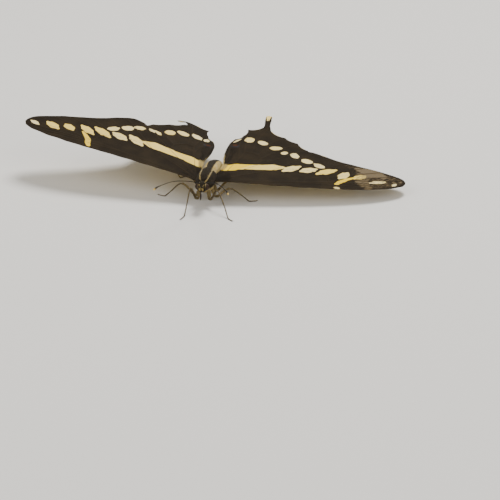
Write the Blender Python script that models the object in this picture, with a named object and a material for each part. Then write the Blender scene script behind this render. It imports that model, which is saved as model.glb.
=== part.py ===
"""Western giant swallowtail, life size, standing on its six legs with the wings spread nearly flat.

The head faces -Y, +Z is up and +X is the butterfly's own left. Sizes are in millimetres until a
mesh is made. A wing is drawn flat first: u runs out from the body and v runs forward, as on a
set specimen. The wing is then turned back about its root and laid on its sloping surface.
"""
import math

import bmesh
import bpy
from mathutils import Vector
from mathutils.geometry import delaunay_2d_cdt

MM = 0.001

# Spacing and thickness
GAP = 0.3
WING_THICKNESS = 0.5
ROOT_THICKENING = 0.4
ROOT_THICKENED_LENGTH = 5.0
ROOT_THICKENED_HALF_SPAN = 3.0
LAYER_DROP = 1.0

# Wing roots
THORAX_FLAT_X = 2.95
ROOT_X = THORAX_FLAT_X + GAP
ROOT_HEIGHT = 8.0
HINDWING_ROOT_Y = 3.8
FOREWING_ROOT_SPAN = (2.0, -1.2)
HINDWING_ROOT_SPAN = (1.3, -1.3)
FOREWING_TURN = math.radians(-47.0)
HINDWING_TURN = math.radians(-20.8)

# How each side's wings are held: rise towards the tip, arch, pitch, the hindwing's droop and
# how far the tip of its tail sags
WING_HOLD = {
    "left": {"side": 1, "rise": -0.045, "arch": -0.0005, "pitch": 0.021, "droop": 0.02, "tail": 0.0},
    "right": {"side": -1, "rise": 0.245, "arch": -0.0015, "pitch": 0.067, "droop": 0.16, "tail": 5.4},
}
DROOP_START_Y = 9.0
DROOP_BLEND = 10.0
TAIL_START_Y = 47.0
TAIL_REACH = 15.0

# Vein ridges
RIDGE_HEIGHT = 0.22
RIDGE_HALF_WIDTH = 0.42
RIDGE_END_SHARE = 0.6
VEIN_STEP = 4.0
VEIN_EDGE_CLEARANCE = 0.7
SHEET_GRID = 6.0
GRID_EDGE_CLEARANCE = 1.5
GRID_RIDGE_CLEARANCE = 1.6
MERGE_DISTANCE = 0.06
OUTLINE_STEP = 2.4
SHARP_ANGLE = math.radians(50)

# Body
HEAD_CENTRE_Z = 8.5
HEAD_FRONT_Y = -9.1
NECK_Y = -5.5
THORAX_FRONT_Y = NECK_Y + GAP
THORAX_REAR_Y = 6.4
ABDOMEN_FRONT_Y = THORAX_REAR_Y + GAP
ABDOMEN_LENGTH = 21.5
ABDOMEN_DROOP = math.radians(18.0)
ABDOMEN_BEND_SHARE = 0.35
ABDOMEN_FRONT_Z = 7.5
ABDOMEN_SIDES = 16
BODY_SIDES = 20
EYE_FLAT_X = 1.45
FLOOR = 0.0

FOREWING_FRONT = [(4.5, 5.6), (9, 9.7), (17, 16.5), (25, 22.7), (33, 28.3), (41, 32.8), (48, 35.4)]
FOREWING_TIP = [(52.5, 35.9), (55.3, 34.2), (56.2, 31.2)]
FOREWING_EDGE = [(55.2, 27.5), (52.3, 21.3), (48.7, 15.3), (45.6, 9.2), (43.9, 3.5)]
FOREWING_REAR = [(41.8, -1.2), (38.0, -3.2), (30, -3.6), (20, -3.1), (10, -2.8)]

FOREWING_VEINS = {
    "subcosta": [(3, 3.8), (13, 12.4), (24, 20.6), (36, 29.7)],
    "radius": [(2, 2.2), (12, 9), (22, 15.4), (32, 21)],
    "radius_1": [(22, 15.4), (32, 23.6), (44, 33.6)],
    "radius_2": [(28, 18.9), (38, 26.6), (49.5, 35.3)],
    "radius_3": [(32, 21), (42, 28), (53.4, 35)],
    "radius_5": [(32, 21), (39, 23.6), (46.1, 25.6), (55.6, 28.9)],
    "radius_4": [(39, 23.6), (49.6, 30.1), (55.9, 32)],
    "cell_end": [(32, 21), (33.6, 18.4), (33.9, 15.2), (31, 10.4)],
    "media_1": [(33.6, 18.4), (42.6, 20.8), (54, 24.3)],
    "media_2": [(33.9, 15.2), (38.8, 16.5), (51.2, 18.8)],
    "media_3": [(31, 10.4), (34.5, 12), (40, 12.2), (48.2, 13)],
    "cubitus": [(2, 0.6), (12, 2.4), (21, 4.3), (27, 7), (31, 10.4)],
    "cubitus_1": [(27, 7), (30.2, 7.9), (37.6, 6.9), (45.8, 7)],
    "cubitus_2": [(21, 4.3), (25.5, 3.7), (36.2, 1.8), (43.6, 1.3)],
    "anal": [(1.8, -0.8), (10, -1.2), (22, -1.7), (32, -2.2), (40.6, -2.4)],
}

HINDWING_FRONT = [(5, 2.5), (14, 3), (24, 1.5), (31, -2), (35.3, -7)]
HINDWING_TEETH = [(36.9, -13), (36.3, -19.5), (34.0, -25.8), (30.7, -31.4), (27.4, -36.2)]
HINDWING_INNER_TEETH = [(23.3, -40.1), (18.8, -39.8), (15.9, -34.2), (12.4, -31.6)]
HINDWING_INNER = [(9.8, -28), (7.2, -22), (5, -15.6), (3.3, -9)]
SCALLOP_DEPTH = 0.55

# The right tail is bent outward, as in the photograph
TAIL_AXES = {
    "left": [(25.4, -38.2), (26.6, -42.6), (27.9, -46.9), (28.9, -50.0)],
    "right": [(25.4, -38.2), (28.5, -41.1), (31.8, -43.5), (34.4, -45.3)],
}
TAIL_HALF_WIDTHS = [1.75, 1.2, 1.35, 1.3]
TAIL_VEINS = {"left": [(26.7, -43), (28.2, -48)], "right": [(28.6, -41.2), (33.0, -44.4)]}

HINDWING_VEINS = {
    "subcosta": [(3, 0.4), (12, 0.6), (24, -2), (35.6, -9.5)],
    "radius": [(1.6, 0), (8, -2.2), (16, -9), (18.2, -14)],
    "radial_sector": [(16, -9), (26, -14.2), (35.8, -19.2)],
    "media_1": [(18.2, -14), (27.9, -22), (33.8, -25.4)],
    "cell_end": [(18.2, -14), (17.8, -17), (15.8, -19.4), (13.6, -20)],
    "media_2": [(17.8, -17), (24.3, -26.6), (30.7, -31.2)],
    "media_3": [(15.8, -19.4), (20.6, -30.2), (25.6, -38.8)],
    "cubitus": [(1.6, -0.9), (5, -6), (10.4, -14.5), (13.6, -20)],
    "cubitus_1": [(13.6, -20), (16.6, -31), (18.6, -38.8)],
    "cubitus_2": [(10.4, -14.5), (13.2, -26.5), (15.5, -33.2)],
    "anal": [(2.6, -5), (6.9, -17), (11.2, -29.6)],
}

# Half widths and half heights of the body's cross-sections, from front to rear
THORAX_SECTIONS = [
    (THORAX_FRONT_Y, 1.3, 1.3, 8.3), (-4.6, 2.2, 2.3, 8.1), (-3.4, 2.95, 3.1, 7.9),
    (-2.1, 3.3, 3.6, 7.7), (-0.6, 3.42, 3.9, 7.6), (1.0, 3.45, 4.0, 7.5), (2.6, 3.42, 3.85, 7.45),
    (4.1, 3.35, 3.5, 7.45), (5.3, 3.2, 3.0, 7.5), (6.0, 2.7, 2.5, 7.5), (THORAX_REAR_Y, 2.2, 2.0, 7.5),
]
HEAD_SECTIONS = [
    (NECK_Y, 1.15, 1.15, 8.3), (-5.9, 1.6, 1.5, 8.4), (-6.6, 1.85, 1.75, HEAD_CENTRE_Z),
    (-7.4, 1.95, 1.85, HEAD_CENTRE_Z), (-8.2, 1.8, 1.7, HEAD_CENTRE_Z),
    (-8.8, 1.45, 1.4, HEAD_CENTRE_Z), (HEAD_FRONT_Y, 1.15, 1.1, HEAD_CENTRE_Z),
]
ABDOMEN_RADII = [2.0, 2.35, 2.6, 2.65, 2.6, 2.45, 2.2, 1.8, 1.3, 0.75]
ABDOMEN_GROOVE = 0.12

# Legs: path from the coxa to the claw, for the left side, with the right foot's own places
LEG_RADII = [0.46, 0.52, 0.36, 0.34, 0.28, 0.27, 0.25]
LEGS = {
    "fore": {
        "coxa": (1.5, -3.4, 5.4), "hip": (1.8, -4.3, 3.9),
        "knee": {"left": (5.0, -6.2, 6.9), "right": (4.2, -6.4, 6.9)},
        "ankle": {"left": (7.9, -10.2, 3.2), "right": (4.7, -10.6, 3.2)},
        "heel": {"left": (9.7, -13.2, 0.2), "right": (5.1, -13.6, 0.2)},
        "toe": {"left": (11.3, -14.9, 0.2), "right": (5.8, -16.2, 0.2)},
    },
    "mid": {
        "coxa": (2.0, 0.2, 4.6), "hip": (2.7, 0.2, 3.0),
        "knee": {"left": (8.2, -0.4, 5.4), "right": (8.2, -0.4, 6.2)},
        "ankle": {"left": (12.2, 0.6, 2.6), "right": (12.2, 0.6, 2.6)},
        "heel": {"left": (14.6, 1.8, 0.2), "right": (14.6, 1.8, 0.2)},
        "toe": {"left": (16.9, 2.6, 0.2), "right": (16.9, 2.6, 0.2)},
    },
    "hind": {
        "coxa": (1.9, 3.6, 5.0), "hip": (2.4, 4.3, 3.2),
        "knee": {"left": (6.6, 8.8, 4.6), "right": (6.6, 8.8, 4.9)},
        "ankle": {"left": (10.2, 14.2, 2.2), "right": (10.2, 14.2, 2.2)},
        "heel": {"left": (12.2, 18.2, 0.2), "right": (12.2, 18.2, 0.2)},
        "toe": {"left": (13.4, 20.8, 0.2), "right": (13.4, 20.8, 0.2)},
    },
}
LEG_SIDES = 8
LEG_FIRST_NORMAL = (0, -1, 0.2)
# Points of the bend below the hip: how far on from the coxa, and how far towards the knee
HIP_BEND = [(0.55, 0.0), (1.0, 0.7), (0.9, 1.5)]

ANTENNA_ROOT = (0.8, -7.9, 9.9)
ANTENNA_PATH = [(3.4, -12.8, 12.6), (7.4, -19.6, 15.2), (11.0, -26.0, 16.0), (12.4, -28.8, 15.8)]
ANTENNA_RADII = [0.34, 0.26, 0.25, 0.27, 0.55, 0.3]
ANTENNA_SOCKET_LENGTH = 0.5
ANTENNA_SOCKET_RADIUS = 0.42
PALP_PATH = [(0.6, HEAD_FRONT_Y - GAP, 8.5), (0.64, -10.2, 8.6), (0.62, -10.8, 9.2), (0.56, -11.0, 9.9)]
PALP_RADII = [0.4, 0.42, 0.36, 0.22]
PROBOSCIS_START_Z = 7.6
PROBOSCIS_COIL = {"centre_y": -10.3, "outer": 1.35, "inner": 0.5, "turns": 1.35}
PROBOSCIS_RADIUS = 0.25

COLOURS = {
    "wing": (0.026, 0.020, 0.014), "thorax": (0.045, 0.038, 0.022), "abdomen": (0.42, 0.33, 0.13),
    "head": (0.040, 0.033, 0.020), "eye": (0.012, 0.010, 0.008), "leg": (0.16, 0.12, 0.06),
    "antenna": (0.020, 0.016, 0.012), "palp": (0.45, 0.38, 0.20), "proboscis": (0.05, 0.03, 0.02),
}


def clear_scene():
    """Remove every object that the file opens with."""
    for item in list(bpy.data.objects):
        bpy.data.objects.remove(item, do_unlink=True)


def make_material(name, colour, roughness):
    """Return a plain material of one colour."""
    material = bpy.data.materials.new(name)
    material.use_nodes = True
    shader = material.node_tree.nodes["Principled BSDF"]
    shader.inputs["Base Color"].default_value = (*colour, 1.0)
    shader.inputs["Roughness"].default_value = roughness
    shader.inputs["Metallic"].default_value = 0.0
    return material


def make_object(name, points, faces, origin, parent, kind, roughness=0.7):
    """Turn points in millimetres into a named object placed at its origin point."""
    mesh = bpy.data.meshes.new(name)
    base = Vector(origin)
    mesh.from_pydata([(Vector(point) - base) * MM for point in points], [], faces)
    shell = bmesh.new()
    shell.from_mesh(mesh)
    bmesh.ops.recalc_face_normals(shell, faces=shell.faces)
    shell.to_mesh(mesh)
    shell.free()
    mesh.shade_smooth()
    mesh.set_sharp_from_angle(angle=SHARP_ANGLE)
    item = bpy.data.objects.new(name, mesh)
    item.data.materials.append(make_material(name, COLOURS[kind], roughness))
    item.location = base * MM
    item.parent = parent
    bpy.context.scene.collection.objects.link(item)
    return item


def smooth_curve(points, step):
    """Sample a Catmull-Rom curve through the points, about one step apart."""
    vectors = [Vector(point) for point in points]
    padded = [2 * vectors[0] - vectors[1], *vectors, 2 * vectors[-1] - vectors[-2]]
    samples = [vectors[0]]
    for before, start, end, after in zip(padded, padded[1:], padded[2:], padded[3:]):
        count = max(1, round((end - start).length / step))
        for index in range(1, count + 1):
            t = index / count
            samples.append(0.5 * (2 * start + (end - before) * t
                                  + (2 * before - 5 * start + 4 * end - after) * t ** 2
                                  + (3 * start - before - 3 * end + after) * t ** 3))
    return samples


def interpolate(values, share):
    """Read a list of values as a line through evenly spaced stations."""
    place = share * (len(values) - 1)
    index = min(int(place), len(values) - 2)
    return values[index] + (values[index + 1] - values[index]) * (place - index)


def unturn(turn, outward, forward):
    """Return the flat wing's coordinates of a point given in the plan of the posed wing."""
    cosine, sine = math.cos(turn), math.sin(turn)
    return (cosine * outward + sine * forward, cosine * forward - sine * outward)


def turned(turn, point):
    """Return how far out and forward of its root a point of the flat wing lies once posed."""
    cosine, sine = math.cos(turn), math.sin(turn)
    return (cosine * point[0] - sine * point[1], sine * point[0] + cosine * point[1])


def forewing_surface(hold, outward, y):
    """Height of the forewing's middle surface."""
    return ROOT_HEIGHT + hold["rise"] * outward + hold["arch"] * outward ** 2 + hold["pitch"] * y


def hindwing_surface(hold, outward, y):
    """Height of the hindwing's middle surface, a layer below the forewing and drooping behind."""
    reach = max(0.0, y - DROOP_START_Y)
    ramp = reach ** 2 / (2 * DROOP_BLEND) if reach < DROOP_BLEND else reach - DROOP_BLEND / 2
    sag = hold["tail"] * max(0.0, (y - TAIL_START_Y) / TAIL_REACH) ** 2
    return forewing_surface(hold, outward, y) - LAYER_DROP - hold["droop"] * ramp - sag


def forewing_outline():
    """Outline of the flat forewing, from the front of its root round to the rear of its root."""
    front_root = unturn(FOREWING_TURN, 0.0, FOREWING_ROOT_SPAN[0])
    rear_root = unturn(FOREWING_TURN, 0.0, FOREWING_ROOT_SPAN[1])
    front = smooth_curve([front_root, *FOREWING_FRONT, FOREWING_TIP[0]], 2 * OUTLINE_STEP)
    edge = smooth_curve([*FOREWING_TIP, *FOREWING_EDGE, *FOREWING_REAR[:2]], OUTLINE_STEP)
    rear = smooth_curve([*FOREWING_REAR[1:], rear_root], 2 * OUTLINE_STEP)
    return front + edge[1:] + rear[1:]


def scalloped(teeth):
    """Join the teeth of a wing's edge by shallow hollows."""
    points = [Vector(teeth[0])]
    for start, end in zip(teeth, teeth[1:]):
        start, end = Vector(start), Vector(end)
        inward = Vector((start.y - end.y, end.x - start.x)).normalized() * -SCALLOP_DEPTH
        for share in (0.25, 0.5, 0.75):
            points.append(start.lerp(end, share) + inward * 4 * share * (1 - share))
        points.append(end)
    return points


def tail_outline(side_name):
    """Both edges of the spoon-shaped tail, round its tip."""
    axis = smooth_curve(TAIL_AXES[side_name], 2.0)
    outer, inner = [], []
    for index, point in enumerate(axis):
        ahead = axis[min(index + 1, len(axis) - 1)] - axis[max(index - 1, 0)]
        across = Vector((-ahead.y, ahead.x)).normalized()
        half = interpolate(TAIL_HALF_WIDTHS, index / (len(axis) - 1))
        outer.append(point + across * half)
        inner.append(point - across * half)
    ahead = (axis[-1] - axis[-2]).normalized()
    across = Vector((-ahead.y, ahead.x))
    half = TAIL_HALF_WIDTHS[-1]
    angles = [math.radians(angle) for angle in (60, 30, 0, -30, -60)]
    tip = [axis[-1] + half * (ahead * math.cos(angle) + across * math.sin(angle)) for angle in angles]
    return outer + tip + inner[::-1]


def hindwing_outline(side_name):
    """Outline of the flat hindwing with its scalloped edge and its tail."""
    front_root = unturn(HINDWING_TURN, 0.0, HINDWING_ROOT_SPAN[0])
    rear_root = unturn(HINDWING_TURN, 0.0, HINDWING_ROOT_SPAN[1])
    front = smooth_curve([front_root, *HINDWING_FRONT, HINDWING_TEETH[0]], 1.5 * OUTLINE_STEP)
    outer = scalloped(HINDWING_TEETH)
    inner = scalloped(HINDWING_INNER_TEETH)
    rear = smooth_curve([HINDWING_INNER_TEETH[-1], *HINDWING_INNER, rear_root], 1.5 * OUTLINE_STEP)
    tail = tail_outline(side_name)
    return front + outer[1:] + tail[1:-1] + inner + rear[1:]


class Ridge:
    """A vein's raised line on the flat wing."""

    def __init__(self, points):
        self.line = smooth_curve(points, VEIN_STEP)

    def half_width(self, index):
        """Half the ridge's width, which narrows towards the wing's edge."""
        share = index / (len(self.line) - 1)
        return RIDGE_HALF_WIDTH * (1 - (1 - RIDGE_END_SHARE) * share)

    def borders(self):
        """The two lines where the ridge meets the membrane."""
        left, right = [], []
        for index, point in enumerate(self.line):
            ahead = self.line[min(index + 1, len(self.line) - 1)] - self.line[max(index - 1, 0)]
            across = Vector((-ahead.y, ahead.x)).normalized() * self.half_width(index)
            left.append(point + across)
            right.append(point - across)
        return left, right

    def height(self, point):
        """Height of the ridge above the membrane at a point."""
        best = 0.0
        for index in range(len(self.line) - 1):
            start = self.line[index]
            run = self.line[index + 1] - start
            share = max(0.0, min(1.0, (point - start).dot(run) / run.length_squared))
            distance = (point - start - run * share).length
            half = self.half_width(index + share)
            best = max(best, (1 - distance / half) * half / RIDGE_HALF_WIDTH)
        return best * RIDGE_HEIGHT


def edge_distance(point, outline):
    """Distance from a point to the outline, negative outside it."""
    nearest = math.inf
    inside = False
    for start, end in zip(outline, outline[1:] + outline[:1]):
        run = end - start
        share = max(0.0, min(1.0, (point - start).dot(run) / run.length_squared))
        nearest = min(nearest, (point - start - run * share).length)
        if (start.y > point.y) != (end.y > point.y):
            if point.x < start.x + (point.y - start.y) * run.x / run.y:
                inside = not inside
    return nearest if inside else -nearest


def inner_grid(outline, ridges):
    """Spread points over the membrane, clear of the edge and of the ridges."""
    us = [point.x for point in outline]
    vs = [point.y for point in outline]
    points = []
    rows = int((max(vs) - min(vs)) / SHEET_GRID) + 1
    columns = int((max(us) - min(us)) / SHEET_GRID) + 1
    for row in range(rows):
        for column in range(columns):
            shift = 0.5 * (row % 2)
            point = Vector((min(us) + (column + shift) * SHEET_GRID, min(vs) + row * SHEET_GRID))
            if edge_distance(point, outline) < GRID_EDGE_CLEARANCE:
                continue
            if any((point - other).length < GRID_RIDGE_CLEARANCE
                   for ridge in ridges for other in ridge.line):
                continue
            points.append(point)
    return points


def wing_triangles(outline, ridges):
    """Split the flat wing into triangles that follow its outline and its ridges."""
    points, edges = [], []

    def add_line(line, closed=False):
        first = len(points)
        points.extend(Vector(point) for point in line)
        edges.extend((first + index, first + index + 1) for index in range(len(line) - 1))
        if closed:
            edges.append((len(points) - 1, first))

    add_line(outline, closed=True)
    for ridge in ridges:
        for line in (ridge.line, *ridge.borders()):
            kept = [point for point in line if edge_distance(point, outline) > VEIN_EDGE_CLEARANCE]
            if len(kept) > 1:
                add_line(kept)
    points.extend(inner_grid(outline, ridges))
    result = delaunay_2d_cdt(points, edges, [], 1, MERGE_DISTANCE)
    return result[0], result[2]


def make_wing(name, side_name, outline, veins, turn, root_y, surface, thick_up, thick_down, parent):
    """Build one wing as a closed sheet with its veins raised on the upper face."""
    hold = WING_HOLD[side_name]
    ridges = [Ridge(points) for points in veins.values()]
    flat, triangles = wing_triangles(outline, ridges)
    upper, lower = [], []
    for point in flat:
        outward, forward = turned(turn, point)
        x = hold["side"] * (ROOT_X + outward)
        y = root_y - forward
        middle = surface(hold, outward, y)
        near_root = max(0.0, 1 - outward / ROOT_THICKENED_LENGTH) ** 2 * ROOT_THICKENING
        near_root = near_root if abs(forward) < ROOT_THICKENED_HALF_SPAN else 0.0
        ridge = max(ridge.height(point) for ridge in ridges)
        upper.append((x, y, middle + WING_THICKNESS / 2 + ridge + near_root * thick_up))
        lower.append((x, y, middle - WING_THICKNESS / 2 - near_root * thick_down))
    count = len(flat)
    faces = [tuple(face) for face in triangles]
    faces += [tuple(count + index for index in reversed(face)) for face in triangles]
    used = {}
    for face in triangles:
        for start, end in zip(face, (*face[1:], face[0])):
            used[(start, end)] = True
    for start, end in used:
        if (end, start) not in used:
            faces.append((end, start, count + start))
            faces.append((end, count + start, count + end))
    origin = (hold["side"] * ROOT_X, root_y, ROOT_HEIGHT)
    return make_object(name, upper + lower, faces, origin, parent, "wing")


def ring_body(sections, sides, flat_x=None):
    """Skin a row of oval sections along Y, with flat ends and, if given, flat sides."""
    points, faces = [], []
    for y, half_width, half_height, centre_z in sections:
        for index in range(sides):
            angle = 2 * math.pi * index / sides
            x = half_width * math.cos(angle)
            if flat_x is not None:
                x = max(-flat_x, min(flat_x, x))
            points.append((x, y, centre_z + half_height * math.sin(angle)))
    for row in range(len(sections) - 1):
        for index in range(sides):
            after = (index + 1) % sides
            low, high = row * sides, (row + 1) * sides
            faces.append((low + index, low + after, high + after, high + index))
    faces.append(tuple(range(sides)))
    faces.append(tuple(reversed(range((len(sections) - 1) * sides, len(sections) * sides))))
    return points, faces


def swept_tube(path, radii, sides, first_normal=None):
    """Skin a round tube along a path, its radius read along it, its lowest points on the floor."""
    points, faces = [], []
    up = Vector(first_normal) if first_normal else Vector((0, 0, 1))
    for index, centre in enumerate(path):
        ahead = (path[min(index + 1, len(path) - 1)] - path[max(index - 1, 0)]).normalized()
        up = (up - ahead * up.dot(ahead)).normalized()
        across = ahead.cross(up)
        radius = interpolate(radii, index / (len(path) - 1))
        for corner in range(sides):
            angle = 2 * math.pi * (corner + 0.5) / sides
            point = centre + radius * (across * math.cos(angle) + up * math.sin(angle))
            points.append((point.x, point.y, max(FLOOR, point.z)))
    for row in range(len(path) - 1):
        for index in range(sides):
            after = (index + 1) % sides
            low, high = row * sides, (row + 1) * sides
            faces.append((low + index, low + after, high + after, high + index))
    faces.append(tuple(range(sides)))
    faces.append(tuple(reversed(range((len(path) - 1) * sides, len(path) * sides))))
    return points, faces


def mirrored(point, side):
    """A left-hand point, or its mirror image on the right."""
    return Vector((side * point[0], point[1], point[2]))


def join_pieces(body, pieces):
    """Fuse short stubs into a body and keep its largest closed surface."""
    collection = bpy.data.collections.new(body.name + "_stubs")
    for piece in pieces:
        bpy.context.scene.collection.objects.unlink(piece)
        collection.objects.link(piece)
    bpy.context.scene.collection.children.link(collection)
    union = body.modifiers.new("stubs", "BOOLEAN")
    union.operation = "UNION"
    union.operand_type = "COLLECTION"
    union.collection = collection
    union.solver = "EXACT"
    graph = bpy.context.evaluated_depsgraph_get()
    fused = bpy.data.meshes.new_from_object(body.evaluated_get(graph))
    body.modifiers.remove(union)
    body.data = fused
    for piece in pieces:
        bpy.data.objects.remove(piece, do_unlink=True)
    bpy.data.collections.remove(collection)
    keep_largest(body)


def keep_largest(body):
    """Drop every closed surface of a mesh but the one with most faces."""
    shell = bmesh.new()
    shell.from_mesh(body.data)
    left = set(shell.faces)
    groups = []
    while left:
        stack = [left.pop()]
        group = list(stack)
        while stack:
            for edge in stack.pop().edges:
                for face in edge.link_faces:
                    if face in left:
                        left.remove(face)
                        stack.append(face)
                        group.append(face)
        groups.append(group)
    groups.sort(key=len)
    for group in groups[:-1]:
        bmesh.ops.delete(shell, geom=group, context="FACES")
    shell.to_mesh(body.data)
    shell.free()


def make_stub(name, start, end, radius, parent, kind):
    """A short round stub that a leg or a feeler meets."""
    points, faces = swept_tube([start, end], [radius, radius], LEG_SIDES)
    return make_object(name, points, faces, start, parent, kind)


def make_thorax(parent):
    """Thorax with flat sides for the wing roots and a coxa for each leg."""
    points, faces = ring_body(THORAX_SECTIONS, BODY_SIDES, THORAX_FLAT_X)
    thorax = make_object("thorax", points, faces, (0, 0, ROOT_HEIGHT), parent, "thorax", 0.85)
    coxae = []
    for leg_name, leg in LEGS.items():
        for side in (1, -1):
            start, hip = mirrored(leg["coxa"], side), mirrored(leg["hip"], side)
            coxae.append(make_stub(f"coxa_{leg_name}_{side}", start, hip, LEG_RADII[1], parent, "thorax"))
    join_pieces(thorax, coxae)


def antenna_base(side):
    """Where an antenna's socket ends, and the way that the antenna sets off."""
    root = mirrored(ANTENNA_ROOT, side)
    ahead = (mirrored(ANTENNA_PATH[0], side) - root).normalized()
    return root, ahead


def make_head(parent):
    """Head with flat sides for the eyes and a socket for each antenna."""
    points, faces = ring_body(HEAD_SECTIONS[::-1], BODY_SIDES, EYE_FLAT_X)
    head = make_object("head", points, faces, (0, NECK_Y, HEAD_CENTRE_Z), parent, "head", 0.8)
    sockets = []
    for side in (1, -1):
        root, ahead = antenna_base(side)
        end = root + ahead * ANTENNA_SOCKET_LENGTH
        sockets.append(make_stub(f"socket_{side}", root - ahead, end, ANTENNA_SOCKET_RADIUS, parent, "head"))
    join_pieces(head, sockets)


def make_eye(name, side, parent):
    """A domed eye whose flat back faces the head's flat side."""
    base_x = EYE_FLAT_X + GAP
    depth, half_length, half_height = 0.85, 1.2, 1.3
    centre = Vector((0.0, -7.5, HEAD_CENTRE_Z + 0.1))
    points, faces = [], []
    rings = 5
    for ring in range(rings):
        lean = math.radians(90 * ring / rings)
        for index in range(BODY_SIDES):
            angle = 2 * math.pi * index / BODY_SIDES
            points.append((side * (base_x + depth * math.sin(lean)),
                           centre.y + half_length * math.cos(lean) * math.cos(angle),
                           centre.z + half_height * math.cos(lean) * math.sin(angle)))
    points.append((side * (base_x + depth), centre.y, centre.z))
    for ring in range(rings - 1):
        for index in range(BODY_SIDES):
            after = (index + 1) % BODY_SIDES
            low, high = ring * BODY_SIDES, (ring + 1) * BODY_SIDES
            faces.append((low + index, low + after, high + after, high + index))
    last = (rings - 1) * BODY_SIDES
    for index in range(BODY_SIDES):
        faces.append((last + index, last + (index + 1) % BODY_SIDES, len(points) - 1))
    faces.append(tuple(range(BODY_SIDES)))
    make_object(name, points, faces, (side * base_x, centre.y, centre.z), parent, "eye", 0.25)


def make_abdomen(parent):
    """Abdomen that bends down behind the thorax, with shallow grooves between its rings."""
    sections = []
    steps = 27
    for step in range(steps + 1):
        share = step / steps
        along = ABDOMEN_LENGTH * share
        bend = min(1.0, share / ABDOMEN_BEND_SHARE)
        straight = ABDOMEN_LENGTH * ABDOMEN_BEND_SHARE * bend * (1 - bend / 2)
        drop = math.tan(ABDOMEN_DROOP) * (along - straight)
        radius = interpolate(ABDOMEN_RADII, share)
        groove = ABDOMEN_GROOVE if step % 3 == 0 and 0 < step < steps else 0.0
        radius -= groove
        sections.append((ABDOMEN_FRONT_Y + along, radius, radius * 0.98, ABDOMEN_FRONT_Z - drop))
    points, faces = ring_body(sections, ABDOMEN_SIDES)
    origin = (0, ABDOMEN_FRONT_Y, ABDOMEN_FRONT_Z)
    make_object("abdomen", points, faces, origin, parent, "abdomen", 0.8)


def make_leg(leg_name, side_name, parent):
    """A leg in one piece, from its hip to its toes flat on the floor."""
    side = WING_HOLD[side_name]["side"]
    leg = LEGS[leg_name]
    coxa, hip = mirrored(leg["coxa"], side), mirrored(leg["hip"], side)
    onward = (hip - coxa).normalized()
    start = hip + onward * GAP
    joints = [mirrored(leg[joint][side_name], side) for joint in ("knee", "ankle", "heel", "toe")]
    upward = (joints[0] - start).normalized()
    bend = [start + onward * first + upward * second for first, second in HIP_BEND]
    path = smooth_curve([start, *bend, *joints], 1.5)
    points, faces = swept_tube(path, LEG_RADII, LEG_SIDES, LEG_FIRST_NORMAL)
    make_object(f"leg_{leg_name}_{side_name}", points, faces, start, parent, "leg")


def make_antenna(side_name, parent):
    """A thin feeler with a club at its end."""
    side = WING_HOLD[side_name]["side"]
    root, ahead = antenna_base(side)
    start = root + ahead * (ANTENNA_SOCKET_LENGTH + GAP)
    path = smooth_curve([start, *(mirrored(point, side) for point in ANTENNA_PATH)], 1.6)
    points, faces = swept_tube(path, ANTENNA_RADII, LEG_SIDES)
    make_object(f"antenna_{side_name}", points, faces, start, parent, "antenna")


def make_palp(side_name, parent):
    """One of the two upturned palps in front of the face."""
    side = WING_HOLD[side_name]["side"]
    path = smooth_curve([mirrored(point, side) for point in PALP_PATH], 0.4)
    points, faces = swept_tube(path, PALP_RADII, LEG_SIDES)
    make_object(f"palp_{side_name}", points, faces, path[0], parent, "palp")


def make_proboscis(parent):
    """The coiled tongue below the palps."""
    coil = PROBOSCIS_COIL
    path = [Vector((0, HEAD_FRONT_Y - GAP, PROBOSCIS_START_Z))]
    centre_z = PROBOSCIS_START_Z - coil["outer"]
    count = 22
    for index in range(count + 1):
        share = index / count
        angle = math.pi / 2 + 2 * math.pi * coil["turns"] * share
        radius = coil["outer"] + (coil["inner"] - coil["outer"]) * share
        path.append(Vector((0, coil["centre_y"] + radius * math.cos(angle),
                            centre_z + radius * math.sin(angle))))
    points, faces = swept_tube(path, [PROBOSCIS_RADIUS, PROBOSCIS_RADIUS * 0.9], LEG_SIDES)
    make_object("proboscis", points, faces, path[0], parent, "proboscis")


def centre_on_floor(parent):
    """Move the whole butterfly so that the middle of its box stands over the origin."""
    bpy.context.view_layer.update()
    corners = [item.matrix_world @ vertex.co
               for item in parent.children for vertex in item.data.vertices]
    lowest = [min(corner[axis] for corner in corners) for axis in range(3)]
    highest = [max(corner[axis] for corner in corners) for axis in range(3)]
    parent.location = (-(lowest[0] + highest[0]) / 2, -(lowest[1] + highest[1]) / 2, -lowest[2])


def main():
    """Build the butterfly."""
    clear_scene()
    butterfly = bpy.data.objects.new("butterfly", None)
    bpy.context.scene.collection.objects.link(butterfly)
    fore_outline = forewing_outline()
    for side_name in WING_HOLD:
        hind_outline = hindwing_outline(side_name)
        hind_veins = {**HINDWING_VEINS,
                      "media_3": HINDWING_VEINS["media_3"] + TAIL_VEINS[side_name]}
        make_wing(f"forewing_{side_name}", side_name, fore_outline, FOREWING_VEINS, FOREWING_TURN,
                  0.0, forewing_surface, 1, 0, butterfly)
        make_wing(f"hindwing_{side_name}", side_name, hind_outline, hind_veins, HINDWING_TURN,
                  HINDWING_ROOT_Y, hindwing_surface, 0, 1, butterfly)
        for leg_name in LEGS:
            make_leg(leg_name, side_name, butterfly)
        make_antenna(side_name, butterfly)
        make_palp(side_name, butterfly)
        make_eye(f"eye_{side_name}", WING_HOLD[side_name]["side"], butterfly)
    make_thorax(butterfly)
    make_head(butterfly)
    make_abdomen(butterfly)
    make_proboscis(butterfly)
    centre_on_floor(butterfly)


main()
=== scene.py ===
"""Looks of a western giant swallowtail, life size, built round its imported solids.

Lengths are millimetres in the butterfly's own frame until a mesh is made: the head faces -Y, +Z is
up and +X is the butterfly's own left. A wing is drawn flat, u outward and v forward, then turned
about its root and laid on its sloping surface.
"""

from __future__ import annotations

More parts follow.
